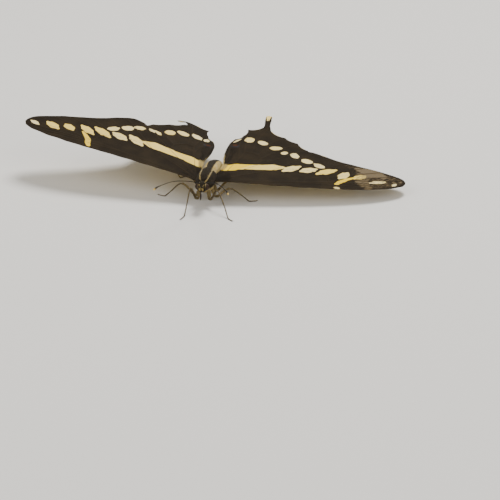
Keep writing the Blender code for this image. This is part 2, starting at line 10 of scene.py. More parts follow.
import logging
import math
from dataclasses import dataclass, field, replace
from enum import Enum
from typing import Any, Sequence

import bpy
import numpy as np
from mathutils import Matrix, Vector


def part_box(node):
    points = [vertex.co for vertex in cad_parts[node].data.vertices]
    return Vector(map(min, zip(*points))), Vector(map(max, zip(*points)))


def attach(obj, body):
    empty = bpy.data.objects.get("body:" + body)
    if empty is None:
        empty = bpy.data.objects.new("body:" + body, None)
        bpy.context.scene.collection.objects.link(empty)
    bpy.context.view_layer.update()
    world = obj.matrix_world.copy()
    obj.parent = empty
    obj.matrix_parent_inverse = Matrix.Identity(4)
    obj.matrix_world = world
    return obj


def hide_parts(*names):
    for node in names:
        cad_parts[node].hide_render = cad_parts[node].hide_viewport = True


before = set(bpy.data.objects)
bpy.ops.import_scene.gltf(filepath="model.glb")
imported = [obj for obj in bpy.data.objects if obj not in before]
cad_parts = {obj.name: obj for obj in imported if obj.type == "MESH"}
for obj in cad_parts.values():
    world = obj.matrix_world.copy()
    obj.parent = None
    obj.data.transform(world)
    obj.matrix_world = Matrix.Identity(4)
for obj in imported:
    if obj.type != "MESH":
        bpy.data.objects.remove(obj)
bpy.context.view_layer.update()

Array = np.ndarray
Colour = tuple[float, float, float]
Place = tuple[float, float, float]
Line = Sequence[tuple[float, ...]]

MM = 0.001
THORAX_FRONT_Y = -5.2
SHIFT_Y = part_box("thorax")[0].y / MM - THORAX_FRONT_Y
FULL_TURN = 2 * math.pi
OUTWARD, UPWARD = (1.0, 0.0, 0.0), (0.0, 0.0, 1.0)
SPIKE_POINTS = 7
SPIKE_SWING = 11
SPIKE_SUNK = 0.6
BAKE_PATCH = 0.003

log = logging.getLogger("swallowtail")


class Side(Enum):
    """The two sides of the body, and their sign along X."""

    LEFT = 1
    RIGHT = -1

    @property
    def word(self) -> str:
        """The side's name as the solids use it."""
        return self.name.lower()


class Pair(Enum):
    """The two pairs of wings."""

    FORE = "forewing"
    HIND = "hindwing"


# Curves and distances


def spline(points: Line, per_span: int) -> Array:
    """Curve through points: each span is the Catmull-Rom cubic of its four nearest points.

    Args:
        points: Known points, two or more values each.
        per_span: Samples between one known point and the next.

    Returns:
        Samples along the whole curve, with both ends.
    """
    known = np.asarray(points, float)
    padded = np.vstack([2 * known[0] - known[1], known, 2 * known[-1] - known[-2]])
    before, start, end, after = (padded[i:len(padded) - 3 + i, None] for i in range(4))
    t = (np.arange(per_span) / per_span)[None, :, None]
    samples = 0.5 * (2 * start + (end - before) * t
                     + (2 * before - 5 * start + 4 * end - after) * t ** 2
                     + (3 * start - before - 3 * end + after) * t ** 3)
    return np.vstack([samples.reshape(-1, known.shape[1]), known[-1:]])


def read_off(places: Array, known: Array, rows: Array) -> Array:
    """Values at some places of a table whose rows stand at known, rising places."""
    return np.stack([np.interp(places, known, column) for column in rows.T], axis=-1)


def profile(count: int, values: Sequence[float]) -> Array:
    """A number of samples along values that stand at even steps."""
    return np.interp(np.linspace(0, 1, count), np.linspace(0, 1, len(values)), values)


def length_so_far(line: Array) -> Array:
    """Length of a line up to each of its points."""
    steps = np.linalg.norm(np.diff(line, axis=0), axis=1)
    return np.concatenate([[0.0], np.cumsum(steps)])


def evenly(line: Array, shares: Array) -> Array:
    """Points at the given shares, from 0 to 1, of a line's length."""
    run = length_so_far(line)
    return read_off(shares * run[-1], run, line)


def stroke_reach(points: Array, line: Line, radii: Sequence[float]) -> Array:
    """How far inside a drawn stroke points lie: its radius at the nearest place less the distance.

    Args:
        points: Points of the flat wing.
        line: The stroke's own points.
        radii: Its half width at each of them.

    Returns:
        Millimetres inside, negative outside.
    """
    best = np.full(len(points), -np.inf)
    known = np.asarray(line, float)
    for start, end, first, last in zip(known, known[1:], radii, radii[1:]):
        run = end - start
        share = np.clip((points - start) @ run / (run @ run), 0, 1)
        distance = np.linalg.norm(points - start - share[:, None] * run, axis=1)
        best = np.maximum(best, first + (last - first) * share - distance)
    return best


def distance_to(points: Array, lines: Sequence[Array]) -> Array:
    """Distance of each flat point to the nearest of several lines."""
    return -np.max([stroke_reach(points, line, np.zeros(len(line))) for line in lines], axis=0)


def unit(vectors: Array) -> Array:
    """The vectors with length one."""
    return vectors / np.maximum(np.linalg.norm(vectors, axis=-1, keepdims=True), 1e-9)


def quarter_turn(ways: Array) -> Array:
    """Flat ways turned a quarter turn to the left."""
    return np.stack([-ways[..., 1], ways[..., 0]], axis=-1)


def soft_step(values: Array, low: float, high: float) -> Array:
    """Smooth ramp from 0 at low to 1 at high."""
    t = np.clip((values - low) / (high - low), 0, 1)
    return t * t * (3 - 2 * t)


def ripples(points: Array, seed: int, size: float, waves: int = 7) -> Array:
    """Soft unevenness: the mean of seeded sine waves of about one size in all directions.

    Args:
        points: Points in two or three dimensions.
        seed: Seed of the waves.
        size: Length of the waves.
        waves: How many are summed.

    Returns:
        Values of about -1 to 1.
    """
    draw = np.random.default_rng(seed)
    ways = unit(draw.normal(size=(waves, points.shape[1]))) * draw.uniform(0.6, 1.6, (waves, 1))
    phases = draw.uniform(0, FULL_TURN, waves)
    return np.sin(points @ ways.T * (FULL_TURN / size) + phases).mean(axis=1) * 1.6


# Meshes


@dataclass
class Form:
    """Points in millimetres, their faces, what is known at each point and the quads' own unwrap."""

    points: Array
    quads: Array = field(default_factory=lambda: np.zeros((0, 4), int))
    tris: Array = field(default_factory=lambda: np.zeros((0, 3), int))
    values: dict[str, Array] = field(default_factory=dict)
    unwrap: Array | None = None

    def flipped(self) -> Form:
        """The same form with its faces turned round."""
        unwrap = None if self.unwrap is None else self.unwrap[:, ::-1]
        return replace(self, quads=self.quads[:, ::-1], tris=self.tris[:, ::-1], unwrap=unwrap)

    def on(self, side: Side) -> Form:
        """The form itself on the left, and its mirror image across the body on the right."""
        if side is Side.LEFT:
            return self
        return replace(self.flipped(), points=self.points * (-1.0, 1.0, 1.0))

    def add(self, name: str, value: Array) -> None:
        """Add one value for each spike, the same at all of its points, to what is known so far."""
        self.values[name] = self.values.get(name, 0) + np.repeat(value, SPIKE_POINTS, axis=0)

    def fill(self, name: str, value: float) -> None:
        """Give every point the same value."""
        self.values[name] = np.full(len(self.points), value)

    def raise_to(self, floor: float) -> None:
        """Lift the points that lie below a level up to it."""
        self.points[:, 2] = np.maximum(self.points[:, 2], floor)


def joined(forms: Sequence[Form]) -> Form:
    """Several forms as one, with zero where a form lacks a value that another has.

    Args:
        forms: The forms to join.

    Returns:
        One form.
    """
    starts = np.cumsum([0] + [len(form.points) for form in forms[:-1]])
    shapes = {name: value.shape[1:] for form in forms for name, value in form.values.items()}
    values = {
        name: np.concatenate([form.values.get(name, np.zeros((len(form.points), *shape)))
                              for form in forms])
        for name, shape in shapes.items()
    }
    return Form(
        np.concatenate([form.points for form in forms]),
        np.concatenate([form.quads + start for form, start in zip(forms, starts)]),
        np.concatenate([form.tris + start for form, start in zip(forms, starts)]),
        values,
    )


def grid_quads(rows: int, columns: int, closed: bool = False) -> Array:
    """Faces of a grid of points, row by row.

    Args:
        rows: Number of rows.
        columns: Points in each row.
        closed: True where each row's last point joins its first.

    Returns:
        Four corners for each face.
    """
    across = columns if closed else columns - 1
    row, column = np.meshgrid(np.arange(rows - 1), np.arange(across), indexing="ij")
    after = (column + 1) % columns
    corners = [row * columns + column, row * columns + after,
               (row + 1) * columns + after, (row + 1) * columns + column]
    return np.stack([corner.ravel() for corner in corners], axis=1)


def ring_form(rings: Array) -> Form:
    """Closed skin over rings of points, with a fan over the middle of each end.

    Args:
        rings: Points of shape (rings, sides, 3).

    Returns:
        The skin, its first points the rings' own and its last two the ends' middles.
    """
    count, sides = rings.shape[:2]
    points = np.concatenate([rings.reshape(-1, 3), rings[[0, -1]].mean(axis=1)])
    corner = np.arange(sides)
    after = (corner + 1) % sides
    first, last = count * sides, count * sides + 1
    start = np.stack([np.full(sides, first), after, corner], axis=1)
    finish = np.stack([np.full(sides, last), first - sides + corner, first - sides + after], axis=1)
    return Form(points, grid_quads(count, sides, True), np.concatenate([start, finish]))


def shaft_ways(path: Array, reference: Place) -> tuple[Array, Array, Array]:
    """Three ways at each point of a path.

    Args:
        path: Points of the middle line.
        reference: A way that the path never runs in.

    Returns:
        Ahead along the path, across it and the reference, and over it.
    """
    ahead = unit(np.gradient(path, axis=0))
    across = unit(np.cross(ahead, reference))
    return ahead, across, np.cross(across, ahead)


def tube(path: Array, radii: Array, sides: int, reference: Place) -> Form:
    """Round tube: each ring is its path point plus radius x (across cos a + over sin a).

    Args:
        path: Points of the middle line.
        radii: Radius at each of them.
        sides: Corners of each ring.
        reference: A way that the path never runs in, from which the rings are turned.

    Returns:
        The closed tube, with "round" (0 to 1 about it) and "run" (0 to 1 along it).
    """
    _, across, over = shaft_ways(path, reference)
    turn = np.arange(sides) / sides * FULL_TURN
    circle = across[:, None] * np.cos(turn)[None, :, None] + over[:, None] * np.sin(turn)[None, :, None]
    form = ring_form(path[:, None] + circle * radii[:, None, None])
    run = np.linspace(0, 1, len(path))
    form.values["run"] = np.concatenate([np.repeat(run, sides), [0.0, 1.0]])
    form.values["round"] = np.concatenate([np.tile(turn / FULL_TURN, len(path)), [0.0, 0.0]])
    return form.flipped()


def tufts(roots: Array, normals: Array, lies: Array, lengths: Array, widths: Array,
          lean: float, seed: int) -> Form:
    """Thin closed spikes of three sides that rise from the skin and bend over to lie along it.

    The first half of a spike sets off at the lean above its lie and the second half at a third of
    it: root + length / 2 x (lie cos + normal sin), each ring a small triangle that narrows.

    Args:
        roots: Where each one grows.
        normals: The skin's outward direction there.
        lies: The way that each one lies.
        lengths: Length of each.
        widths: Width of each at its root.
        lean: Angle in degrees at which they leave the skin.
        seed: Seed of their small differences.

    Returns:
        All spikes, with "tip" (0 at the root, 1 at the end), "tint" and "bake".
    """
    draw = np.random.default_rng(seed)
    count = len(roots)
    normals = unit(normals)
    sideways = unit(np.cross(lies, normals))
    swing = np.radians(draw.normal(0, SPIKE_SWING, count))[:, None]
    lies = unit(np.cross(normals, sideways)) * np.cos(swing) + sideways * np.sin(swing)
    sideways = unit(np.cross(lies, normals))
    rise = np.radians(lean * draw.uniform(0.6, 1.4, count))[:, None]
    first, second = (lies * np.cos(angle) + normals * np.sin(angle) for angle in (rise, rise / 3))
    half, wide = lengths[:, None] / 2, widths[:, None] / 2
    base = roots - normals * wide * SPIKE_SUNK
    middle = roots + first * half
    tip = middle + second * half
    corners = []
    for centre, size in ((base, 1.0), (middle, 0.75)):
        corners += [centre + sideways * wide * size, centre - sideways * wide * size,
                    centre + normals * wide * size * 0.7]
    points = np.stack([*corners, tip], axis=1).reshape(-1, 3)
    start = np.arange(count)[:, None] * SPIKE_POINTS
    quads = np.concatenate([start + face for face in ((1, 4, 3, 0), (2, 5, 4, 1), (0, 3, 5, 2))])
    tris = np.concatenate([start + face for face in ((4, 6, 3), (5, 6, 4), (3, 6, 5), (2, 1, 0))])
    patch = np.array([(0, 0), (1, 0), (0.5, 0.25), (0.1, 0.5), (0.9, 0.5), (0.5, 0.7), (0.5, 1)])
    form = Form(points, quads, tris)
    form.values["tip"] = np.tile([0, 0, 0, 0.5, 0.5, 0.5, 1.0], count)
    form.add("tint", draw.uniform(0, 1, count))
    form.values["bake"] = np.tile(patch * BAKE_PATCH, (count, 1))
    return form


@dataclass(frozen=True)
class Coat:
    """A coat of tufts: how many, their shortest and longest, their width, their lean and their seed."""

    count: int
    shortest: float
    longest: float
    width: float
    lean: float
    seed: int

    def grown(self, draw: np.random.Generator, roots: Array, normals: Array, lies: Array) -> Form:
        """Grow the tufts.

        Args:
            draw: The draw that placed the roots.
            roots: Where each tuft grows.
            normals: The skin's outward direction there.
            lies: The way that each one lies.

        Returns:
            The tufts.
        """
        lengths = draw.uniform(self.shortest, self.longest, self.count)
        widths = np.full(self.count, self.width)
        return tufts(roots, normals, lies, lengths, widths, self.lean, self.seed + 1)

    def on_shaft(self, path: Array, radii: Array, reference: Place,
                 band: tuple[float, float] = (0.0, 0.99)) -> Form:
        """Tufts all round a shaft, lying towards its end.

        Args:
            path: The shaft's middle line.
            radii: Its radius at each point.
            reference: A way that the line never runs in.
            band: The part of the bake's map that the shaft's own unwrap takes.

        Returns:
            The tufts.
        """
        draw = np.random.default_rng(self.seed)
        ahead, across, over = shaft_ways(path, reference)
        index = draw.integers(0, len(path), self.count)
        turn = draw.uniform(0, FULL_TURN, self.count)[:, None]
        normals = across[index] * np.cos(turn) + over[index] * np.sin(turn)
        form = self.grown(draw, path[index] + normals * radii[index][:, None], normals, ahead[index])
        around = band[0] + (band[1] - band[0]) * turn[:, 0] / FULL_TURN
        form.add("bake", np.column_stack([around, index / len(path) * 0.99]))
        return form


def new_object(name: str, data: bpy.types.ID) -> bpy.types.Object:
    """A new object of the scene that carries a mesh, a light or a camera."""
    made = bpy.data.objects.new(name, data)
    bpy.context.scene.collection.objects.link(made)
    return made


def set_unwrap(mesh: bpy.types.Mesh, places: Array) -> None:
    """Give each corner of the mesh its place on the map that the export's bake uses."""
    layer = mesh.uv_layers.new(name="OFBake")
    layer.uv.foreach_set("vector", places.astype(np.float32).ravel())


def make_piece(name: str, form: Form, finish: bpy.types.Material,
               replaces: Sequence[str] = ()) -> bpy.types.Object:
    """Put a form into a mesh that rides with the butterfly.

    Args:
        name: The piece's name.
        form: Its points, faces and values.
        finish: Its material.
        replaces: The solids that it stands for.

    Returns:
        The finished object, at the origin.
    """
    mesh = bpy.data.meshes.new(name)
    sizes = np.repeat([4, 3], [len(form.quads), len(form.tris)])
    corners = np.concatenate([form.quads.ravel(), form.tris.ravel()]).astype(np.int32)
    mesh.vertices.add(len(form.points))
    mesh.vertices.foreach_set("co", ((form.points + (0, SHIFT_Y, 0)) * MM).astype(np.float32).ravel())
    mesh.loops.add(len(corners))
    mesh.loops.foreach_set("vertex_index", corners)
    mesh.polygons.add(len(sizes))
    mesh.polygons.foreach_set("loop_start", (np.cumsum(sizes) - sizes).astype(np.int32))
    mesh.polygons.foreach_set("use_smooth", np.ones(len(sizes), bool))
    mesh.update(calc_edges=True)
    mesh.validate()
    unwrap = form.unwrap
    for key, value in form.values.items():
        if key == "bake":
            unwrap = value[corners]
            continue
        kind, part = ("FLOAT_VECTOR", "vector") if value.ndim == 2 else ("FLOAT", "value")
        attribute = mesh.attributes.new(key, kind, "POINT")
        attribute.data.foreach_set(part, value.astype(np.float32).ravel())
    if unwrap is not None:
        set_unwrap(mesh, unwrap)
    mesh.materials.append(finish)
    piece = new_object(name, mesh)
    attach(piece, "root")
    if replaces:
        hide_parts(*replaces)
    log.info("%s: %d points, %d faces", name, len(form.points), len(sizes))
    return piece


# Materials


class Signal:
    """A value that runs through a material's nodes, and that operators act on."""

    def __init__(self, graph: Graph, socket: bpy.types.NodeSocket) -> None:
        """Wrap a socket of a graph."""
        self.graph = graph
        self.socket = socket

    def __add__(self, other: Any) -> Signal:
        """Sum."""
        return self.graph.maths("ADD", self, other)

    __radd__ = __add__

    def __sub__(self, other: Any) -> Signal:
        """Difference."""
        return self.graph.maths("SUBTRACT", self, other)

    def __rsub__(self, other: Any) -> Signal:
        """Difference from a number."""
        return self.graph.maths("SUBTRACT", other, self)

    def __mul__(self, other: Any) -> Signal:
        """Product."""
        return self.graph.maths("MULTIPLY", self, other)

    __rmul__ = __mul__

    def absolute(self) -> Signal:
        """The value without its sign."""
        return self.graph.maths("ABSOLUTE", self)

    def sine(self) -> Signal:
        """The value's sine."""
        return self.graph.maths("SINE", self)

    def most(self, other: Any) -> Signal:
        """The larger of two values."""
        return self.graph.maths("MAXIMUM", self, other)

    def above(self, edge: float, softness: float) -> Signal:
        """0 below an edge and 1 above it, with a ramp as wide as the softness."""
        sockets = {"Value": self, "From Min": edge - softness / 2, "From Max": edge + softness / 2}
        settings = {"interpolation_type": "SMOOTHSTEP"}
        return self.graph.made("ShaderNodeMapRange", "Result", sockets, settings)

    def below(self, edge: float, softness: float) -> Signal:
        """1 below an edge and 0 above it."""
        return 1 - self.above(edge, softness)


class Graph:
    """The nodes of one material, built by expressions."""

    def __init__(self, name: str) -> None:
        """Start an empty material with one Principled shader.

        Args:
            name: The material's name.
        """
        self.material = bpy.data.materials.new(name)
        self.material.use_nodes = True
        self.nodes = self.material.node_tree.nodes
        self.links = self.material.node_tree.links
        self.nodes.clear()
        self.shader = self.node("ShaderNodeBsdfPrincipled")
        output = self.node("ShaderNodeOutputMaterial")
        self.links.new(self.shader.outputs["BSDF"], output.inputs["Surface"])

    def feed(self, made: bpy.types.Node, sockets: dict[str | int, Any]) -> None:
        """Fill a node's sockets, by name or place, with values and signals."""
        for key, value in sockets.items():
            if isinstance(value, Signal):
                self.links.new(value.socket, made.inputs[key])
            else:
                made.inputs[key].default_value = value

    def node(self, kind: str, sockets: dict[str | int, Any] | None = None,
             settings: dict[str, Any] | None = None) -> bpy.types.Node:
        """Add a node, set it, and then fill its sockets.

        Args:
            kind: The node's type.
            sockets: Values or signals by socket name or place.
            settings: Its own settings, set first.

        Returns:
            The node.
        """
        made = self.nodes.new(kind)
        for name, value in (settings or {}).items():
            setattr(made, name, value)
        self.feed(made, sockets or {})
        return made

    def made(self, kind: str, output: str | int, sockets: dict[str | int, Any] | None = None,
             settings: dict[str, Any] | None = None) -> Signal:
        """Add a node, as above, and take one of its outputs by name or place."""
        return Signal(self, self.node(kind, sockets, settings).outputs[output])

    def maths(self, operation: str, *values: Any) -> Signal:
        """A Math node on numbers and signals."""
        return self.made("ShaderNodeMath", 0, dict(enumerate(values)), {"operation": operation})

    def colour(self, share: Any, low: Any, high: Any) -> Signal:
        """Mix two colours by a share."""
        low, high = ((*c, 1.0) if isinstance(c, tuple) else c for c in (low, high))
        return self.made("ShaderNodeMix", 2, {0: share, 6: low, 7: high}, {"data_type": "RGBA"})

    def value(self, name: str) -> Signal:
        """A number stored on the mesh."""
        return self.made("ShaderNodeAttribute", "Fac", None, {"attribute_name": name})

    def vector(self, name: str) -> Signal:
        """A vector stored on the mesh."""
        return self.made("ShaderNodeAttribute", "Vector", None, {"attribute_name": name})

    def place(self) -> Signal:
        """Object coordinates."""
        return self.made("ShaderNodeTexCoord", "Object")

    def stretched(self, vector: Signal, scale: Sequence[float], turn: float = 0.0) -> Signal:
        """A vector scaled along each axis after a turn in degrees about the third."""
        sockets = {"Vector": vector, "Scale": scale, "Rotation": (0.0, 0.0, math.radians(turn))}
        return self.made("ShaderNodeMapping", "Vector", sockets)

    def noise(self, vector: Signal, scale: float, detail: float = 2.0) -> Signal:
        """Cloudy noise from 0 to 1."""
        return self.made("ShaderNodeTexNoise", 0, {"Vector": vector, "Scale": scale, "Detail": detail})

    def cells(self, vector: Signal, scale: float, output: str = "Distance") -> Signal:
        """Distance to the middle of the nearest of many cells, or that cell's own random "Color"."""
        return self.made("ShaderNodeTexVoronoi", output, {"Vector": vector, "Scale": scale})

    def dress(self, base: Signal, roughness: Any, height: Signal | None = None,
              relief: float = 0.0, **others: Any) -> bpy.types.Material:
        """Feed the shader.

        Args:
            base: Base colour.
            roughness: A number or signal.
            height: What the bump reads.
            relief: The bump's distance in metres.
            **others: Other sockets by name, with _ for a space.

        Returns:
            The material.
        """
        sockets = {"Base Color": base, "Roughness": roughness}
        if height is not None:
            sockets["Normal"] = self.made("ShaderNodeBump", "Normal", {"Height": height, "Distance": relief})
        self.feed(self.shader, {**sockets, **{name.replace("_", " "): v for name, v in others.items()}})
        return self.material


@dataclass(frozen=True)
class WingFinish:
    """Overlapping scales: dark with pale marks above, pale with dark veins below."""

    dark: Colour = (0.0120, 0.0080, 0.0036)
    brown: Colour = (0.032, 0.021, 0.0095)
    cream: Colour = (0.88, 0.74, 0.41)
    yellow: Colour = (0.90, 0.60, 0.03)
    under: Colour = (0.66, 0.53, 0.25)
    under_dark: Colour = (0.060, 0.043, 0.026)
    blue: Colour = (0.10, 0.17, 0.30)
    brick: Colour = (0.34, 0.08, 0.03)
    bare: Colour = (0.170, 0.119, 0.057)
    scales_per_mm: float = 7.0
    streak_slant: float = -22.0
    see_through: float = 0.18
    roughness: float = 0.62
    relief: float = 0.00004
    specular: float = 0.1

    def material(self) -> bpy.types.Material:
        """Build the wings' material from what each wing's mesh knows of its markings."""
        g = Graph("wing_scales")
        flat = g.vector("flat")
        tiles = g.stretched(flat, (self.scales_per_mm, self.scales_per_mm * 1.8, 0.0))
        each = g.cells(tiles, 1.0, "Color")
        powder, grain, cloud = g.noise(flat, 3.2, 4.0), g.noise(flat, 11.0), g.noise(flat, 0.16, 3.0)
        ragged = (powder - 0.5) * 0.5 + (grain - 0.5) * 0.35
        vein, wear = g.value("vein"), g.value("wear")

        def patch(name: str, raggedness: float, softness: float) -> Signal:
            """Share of one kind of mark, 1 inside its ragged edge."""
            return (g.value(name) + ragged * raggedness).above(0.0, softness)

        dark = g.colour(cloud.above(0.5, 0.5) * 0.6 + (each - 0.5) * 0.8, self.dark, self.brown)
        dark = g.colour(vein.below(0.16, 0.3) * 0.5, dark, self.brown)
        dark = g.colour(grain.above(0.71, 0.05) * g.value("dusting") * 0.45, dark, self.yellow)
        pale = patch("pale", 0.8, 0.14) * (1 - vein.below(0.09, 0.14) * 0.7)
        cream = g.colour(g.value("warm"), self.cream, self.yellow)
        cream = g.colour(cloud.above(0.5, 0.4) * 0.3, cream, self.yellow)
        cream = g.colour((powder - 0.45) * 0.3 + (each - 0.5) * 0.16, cream, self.brown)
        above = g.colour(pale, dark, cream)
        above = g.colour(patch("blue", 1.6, 0.3) * 0.09, above, self.blue)
        above = g.colour(patch("eyespot", 1.0, 0.25) * 0.11, above, self.brick)
        streaks = g.noise(g.stretched(flat, (0.5, 2.4, 1.0), self.streak_slant), 1.0, 3.0)
        worn = (wear + (powder - 0.5) * 0.8 + (streaks - 0.5) * 1.3).above(0.5, 0.22)
        worn = worn * wear.above(0.04, 0.06) * (1 - vein.below(0.22, 0.2) * 0.75)
        above = g.colour(worn * (0.85 - pale * 0.3), above, self.bare)
        shade = patch("under_dark", 0.8, 0.25).most(vein.below(0.2, 0.2) * 0.85)
        beneath = g.colour(cloud * 0.6 + (each - 0.5) * 0.3, self.under, self.cream)
        beneath = g.colour(shade, beneath, self.under_dark)
        beneath = g.colour(patch("under_blue", 1.0, 0.35) * 0.8, beneath, self.blue)
        beneath = g.colour(patch("brick", 1.0, 0.25) * 0.9, beneath, self.brick)
        beneath = g.colour(worn * 0.7, beneath, self.bare)
        base = g.colour(g.value("under").above(0.5, 0.05), above, beneath)
        height = g.cells(tiles, 1.0) * -1.0 + grain * 0.5
        return g.dress(base, self.roughness + grain * 0.22, height, self.relief,
                       Alpha=1 - worn * self.see_through, Specular_IOR_Level=self.specular)


@dataclass(frozen=True)
class BodyFinish:
    """Skin and hair of the body, with the same stripes on both."""

    name: str
    hairy: bool
    dark: Colour = (0.014, 0.0105, 0.0065)
    brown: Colour = (0.055, 0.040, 0.022)
    yellow: Colour = (0.70, 0.49, 0.14)
    cream: Colour = (0.72, 0.59, 0.32)
    scales_per_m: float = 9000.0
    relief: float = 0.00003

    def material(self) -> bpy.types.Material:
        """Build the material from "along" in millimetres and "lean", 0 on the back to 1 below."""
        g = Graph(self.name)
        place = g.place()
        fine, broad = g.noise(place, 2600.0, 3.0), g.noise(place, 500.0)
        along, lean = g.value("along"), g.value("lean")
        wander = (broad - 0.5) * 0.09
        dark = g.colour(fine.above(0.55, 0.5), self.dark, self.brown)
        pale = g.colour(broad.above(0.5, 0.5), self.cream, self.yellow)
        drift = lean + wander * 0.5
        back = along.above(4.0, 5.0)
        stripe = drift.above(0.164, 0.018) * (drift - back * 0.36).below(0.203, 0.02)
        belly = (lean + wander).above(0.60, 0.06) * along.above(-8.3, 0.5)
        slash = (lean * 7.0 + along * 0.55 + wander * 4).sine().above(0.72, 0.2)
        belly = belly * (1 - slash * along.below(5.5, 0.6) * 0.85)
        tail = along.above(5.4, 0.8)
        low_line = (drift - 0.80).absolute().below(0.04, 0.04)
        flank = (lean + wander * 0.8).above(0.18, 0.04) * (1 - low_line * 0.9)
        base = g.colour(stripe.most(belly) * (1 - tail) + flank * tail, dark, pale)
        if self.hairy:
            base = g.colour((g.value("tint") - 0.5) * 0.5, base, self.brown)
            base = g.colour(g.value("tip") * 0.28, base, self.brown)
            return g.dress(base, 0.62, Specular_IOR_Level=0.2)
        scales = g.cells(place, self.scales_per_m)
        return g.dress(base, 0.6 + fine * 0.2, scales, self.relief, Specular_IOR_Level=0.3)


@dataclass(frozen=True)
class HornFinish:
    """Hard thin parts such as legs and feelers: dark above, paler where "light" says, which on the legs also
    holds a painted highlight on their upper side.
    """

    name: str
    dark: Colour
    light: Colour
    scales_per_m: float = 6000.0
    roughness: float = 0.38
    relief: float = 0.00002
    specular: float = 0.22

    def material(self) -> bpy.types.Material:
        """Build the material from the mesh's own "light" value."""
        g = Graph(self.name)
        place = g.place()
        fine = g.noise(place, 3500.0, 3.0)
        light = (g.value("light") + (fine - 0.5) * 0.5).above(0.5, 0.4)
        base = g.colour(light, self.dark, self.light)
        base = g.colour((fine - 0.5) * 0.5, base, self.dark)
        scales = g.cells(place, self.scales_per_m)
        return g.dress(base, self.roughness + fine * 0.2, scales, self.relief,
                       Specular_IOR_Level=self.specular)


@dataclass(frozen=True)
class EyeFinish:
    """Dark domed eyes of many facets, with a paler rim.

    Three waves that cross at 60 degrees, sin(k a) + sin(k b) + sin(k c), make the six-sided facets.
    """

    dark: Colour = (0.009, 0.0055, 0.0035)
    brown: Colour = (0.045, 0.022, 0.010)
    yellow: Colour = (0.42, 0.32, 0.12)
    facet_mm: float = 0.05
    roughness: float = 0.42
    relief: float = 0.000008

    def material(self) -> bpy.types.Material:
        """Build the eyes' material."""
        g = Graph("eye_facets")
        step = FULL_TURN / (self.facet_mm * math.sin(math.pi / 3))
        first, second, third = ((g.value(name) * step).sine() for name in EYE_WAVES)
        facets = (first + second + third) * (1 / 3)
        patches = g.noise(g.place(), 900.0)
        base = g.colour(patches.above(0.5, 0.4), self.dark, self.brown)
        base = g.colour(facets.below(0.1, 0.5) * 0.5, base, self.brown)
        base = g.colour(g.value("rim") * 0.8, base, self.yellow)
        return g.dress(base, self.roughness, facets, self.relief, Coat_Weight=0.07,
                       Coat_Roughness=0.1, Specular_IOR_Level=0.15)


@dataclass(frozen=True)
class FloorFinish:
    """Plain pale floor."""

    colour: Colour = (0.74, 0.72, 0.68)
    darkening: float = 0.97

    def material(self) -> bpy.types.Material:
        """Build the floor's material."""
        g = Graph("floor")
        tone = tuple(c * self.darkening for c in self.colour)
        return g.dress(g.colour(g.noise(g.place(), 6.0), self.colour, tone), 0.8)


# Wings


ROOT_X, ROOT_HEIGHT, ROOT_INSET = 3.25, 8.0, 1.15
HIND_ROOT_Y = 3.8
LAYER_DROP = 1.0
DROOP_START_Y, DROOP_BLEND = 9.0, 10.0
TAIL_START_Y, TAIL_REACH = 47.0, 15.0


@dataclass(frozen=True)
class Hold:
    """How one side's wings are held: rise, arch, pitch, the hindwing's droop and its tail's sag."""

    rise: float
    arch: float
    pitch: float
    droop: float
    tail: float

    def height(self, pair: Pair, outward: Array, y: Array) -> Array:
        """Height of a wing's middle surface.

        It is root + rise x out + arch x out squared + pitch x back. The hindwing lies a layer
        lower and droops behind: by a square law over its first stretch and then in a straight line.

        Args:
            pair: Which pair of wings.
            outward: Distance out from the root.
            y: Place along the body.

        Returns:
            Height above the floor.
        """
        level = ROOT_HEIGHT + self.rise * outward + self.arch * outward ** 2 + self.pitch * y
        if pair is Pair.FORE:
            return level
        reach = np.maximum(0.0, y - DROOP_START_Y)
        bent = reach ** 2 / (2 * DROOP_BLEND)
        ramp = np.where(reach < DROOP_BLEND, bent, reach - DROOP_BLEND / 2)
        sag = self.tail * np.maximum(0.0, (y - TAIL_START_Y) / TAIL_REACH) ** 2
        return level - LAYER_DROP - self.droop * ramp - sag


HOLDS = {
    Side.LEFT: Hold(-0.045, -0.0005, 0.021, 0.02, 0.0),
    Side.RIGHT: Hold(0.245, -0.0015, 0.067, 0.16, 5.4),
}


@dataclass(frozen=True)
class Mark:
    """A pale mark of the flat wing, drawn as a stroke whose width changes along it."""

    line: Line
    radii: Sequence[float]
    warmth: float = 0.3

    @classmethod
    def lozenge(cls, u: float, v: float, half_length: float, half_width: float, lie: float,
                warmth: float) -> Mark:
        """A mark with narrow ends, lying at an angle in degrees from straight out.

        Args:
            u: Its middle's place out along the flat wing.
            v: Its middle's place forward.
            half_length: Half its length.
            half_width: Half its width.
            lie: Angle of its length.
            warmth: 0 where cream, 1 where yellow.

        Returns:
            The mark.
        """
        tip = half_width * 0.3
        reach = max(0.05, half_length - tip)
        way = np.array([math.cos(math.radians(lie)), math.sin(math.radians(lie))])
        line = [tuple(way * reach * share + (u, v)) for share in (-1.0, -0.25, 0.35, 1.0)]
        return cls(line, (tip, half_width, half_width * 0.95, tip), warmth)


def lozenges(*rows: tuple[float, ...]) -> list[Mark]:
    """Marks with narrow ends, one for each row of a lozenge's six values."""
    return [Mark.lozenge(*row) for row in rows]


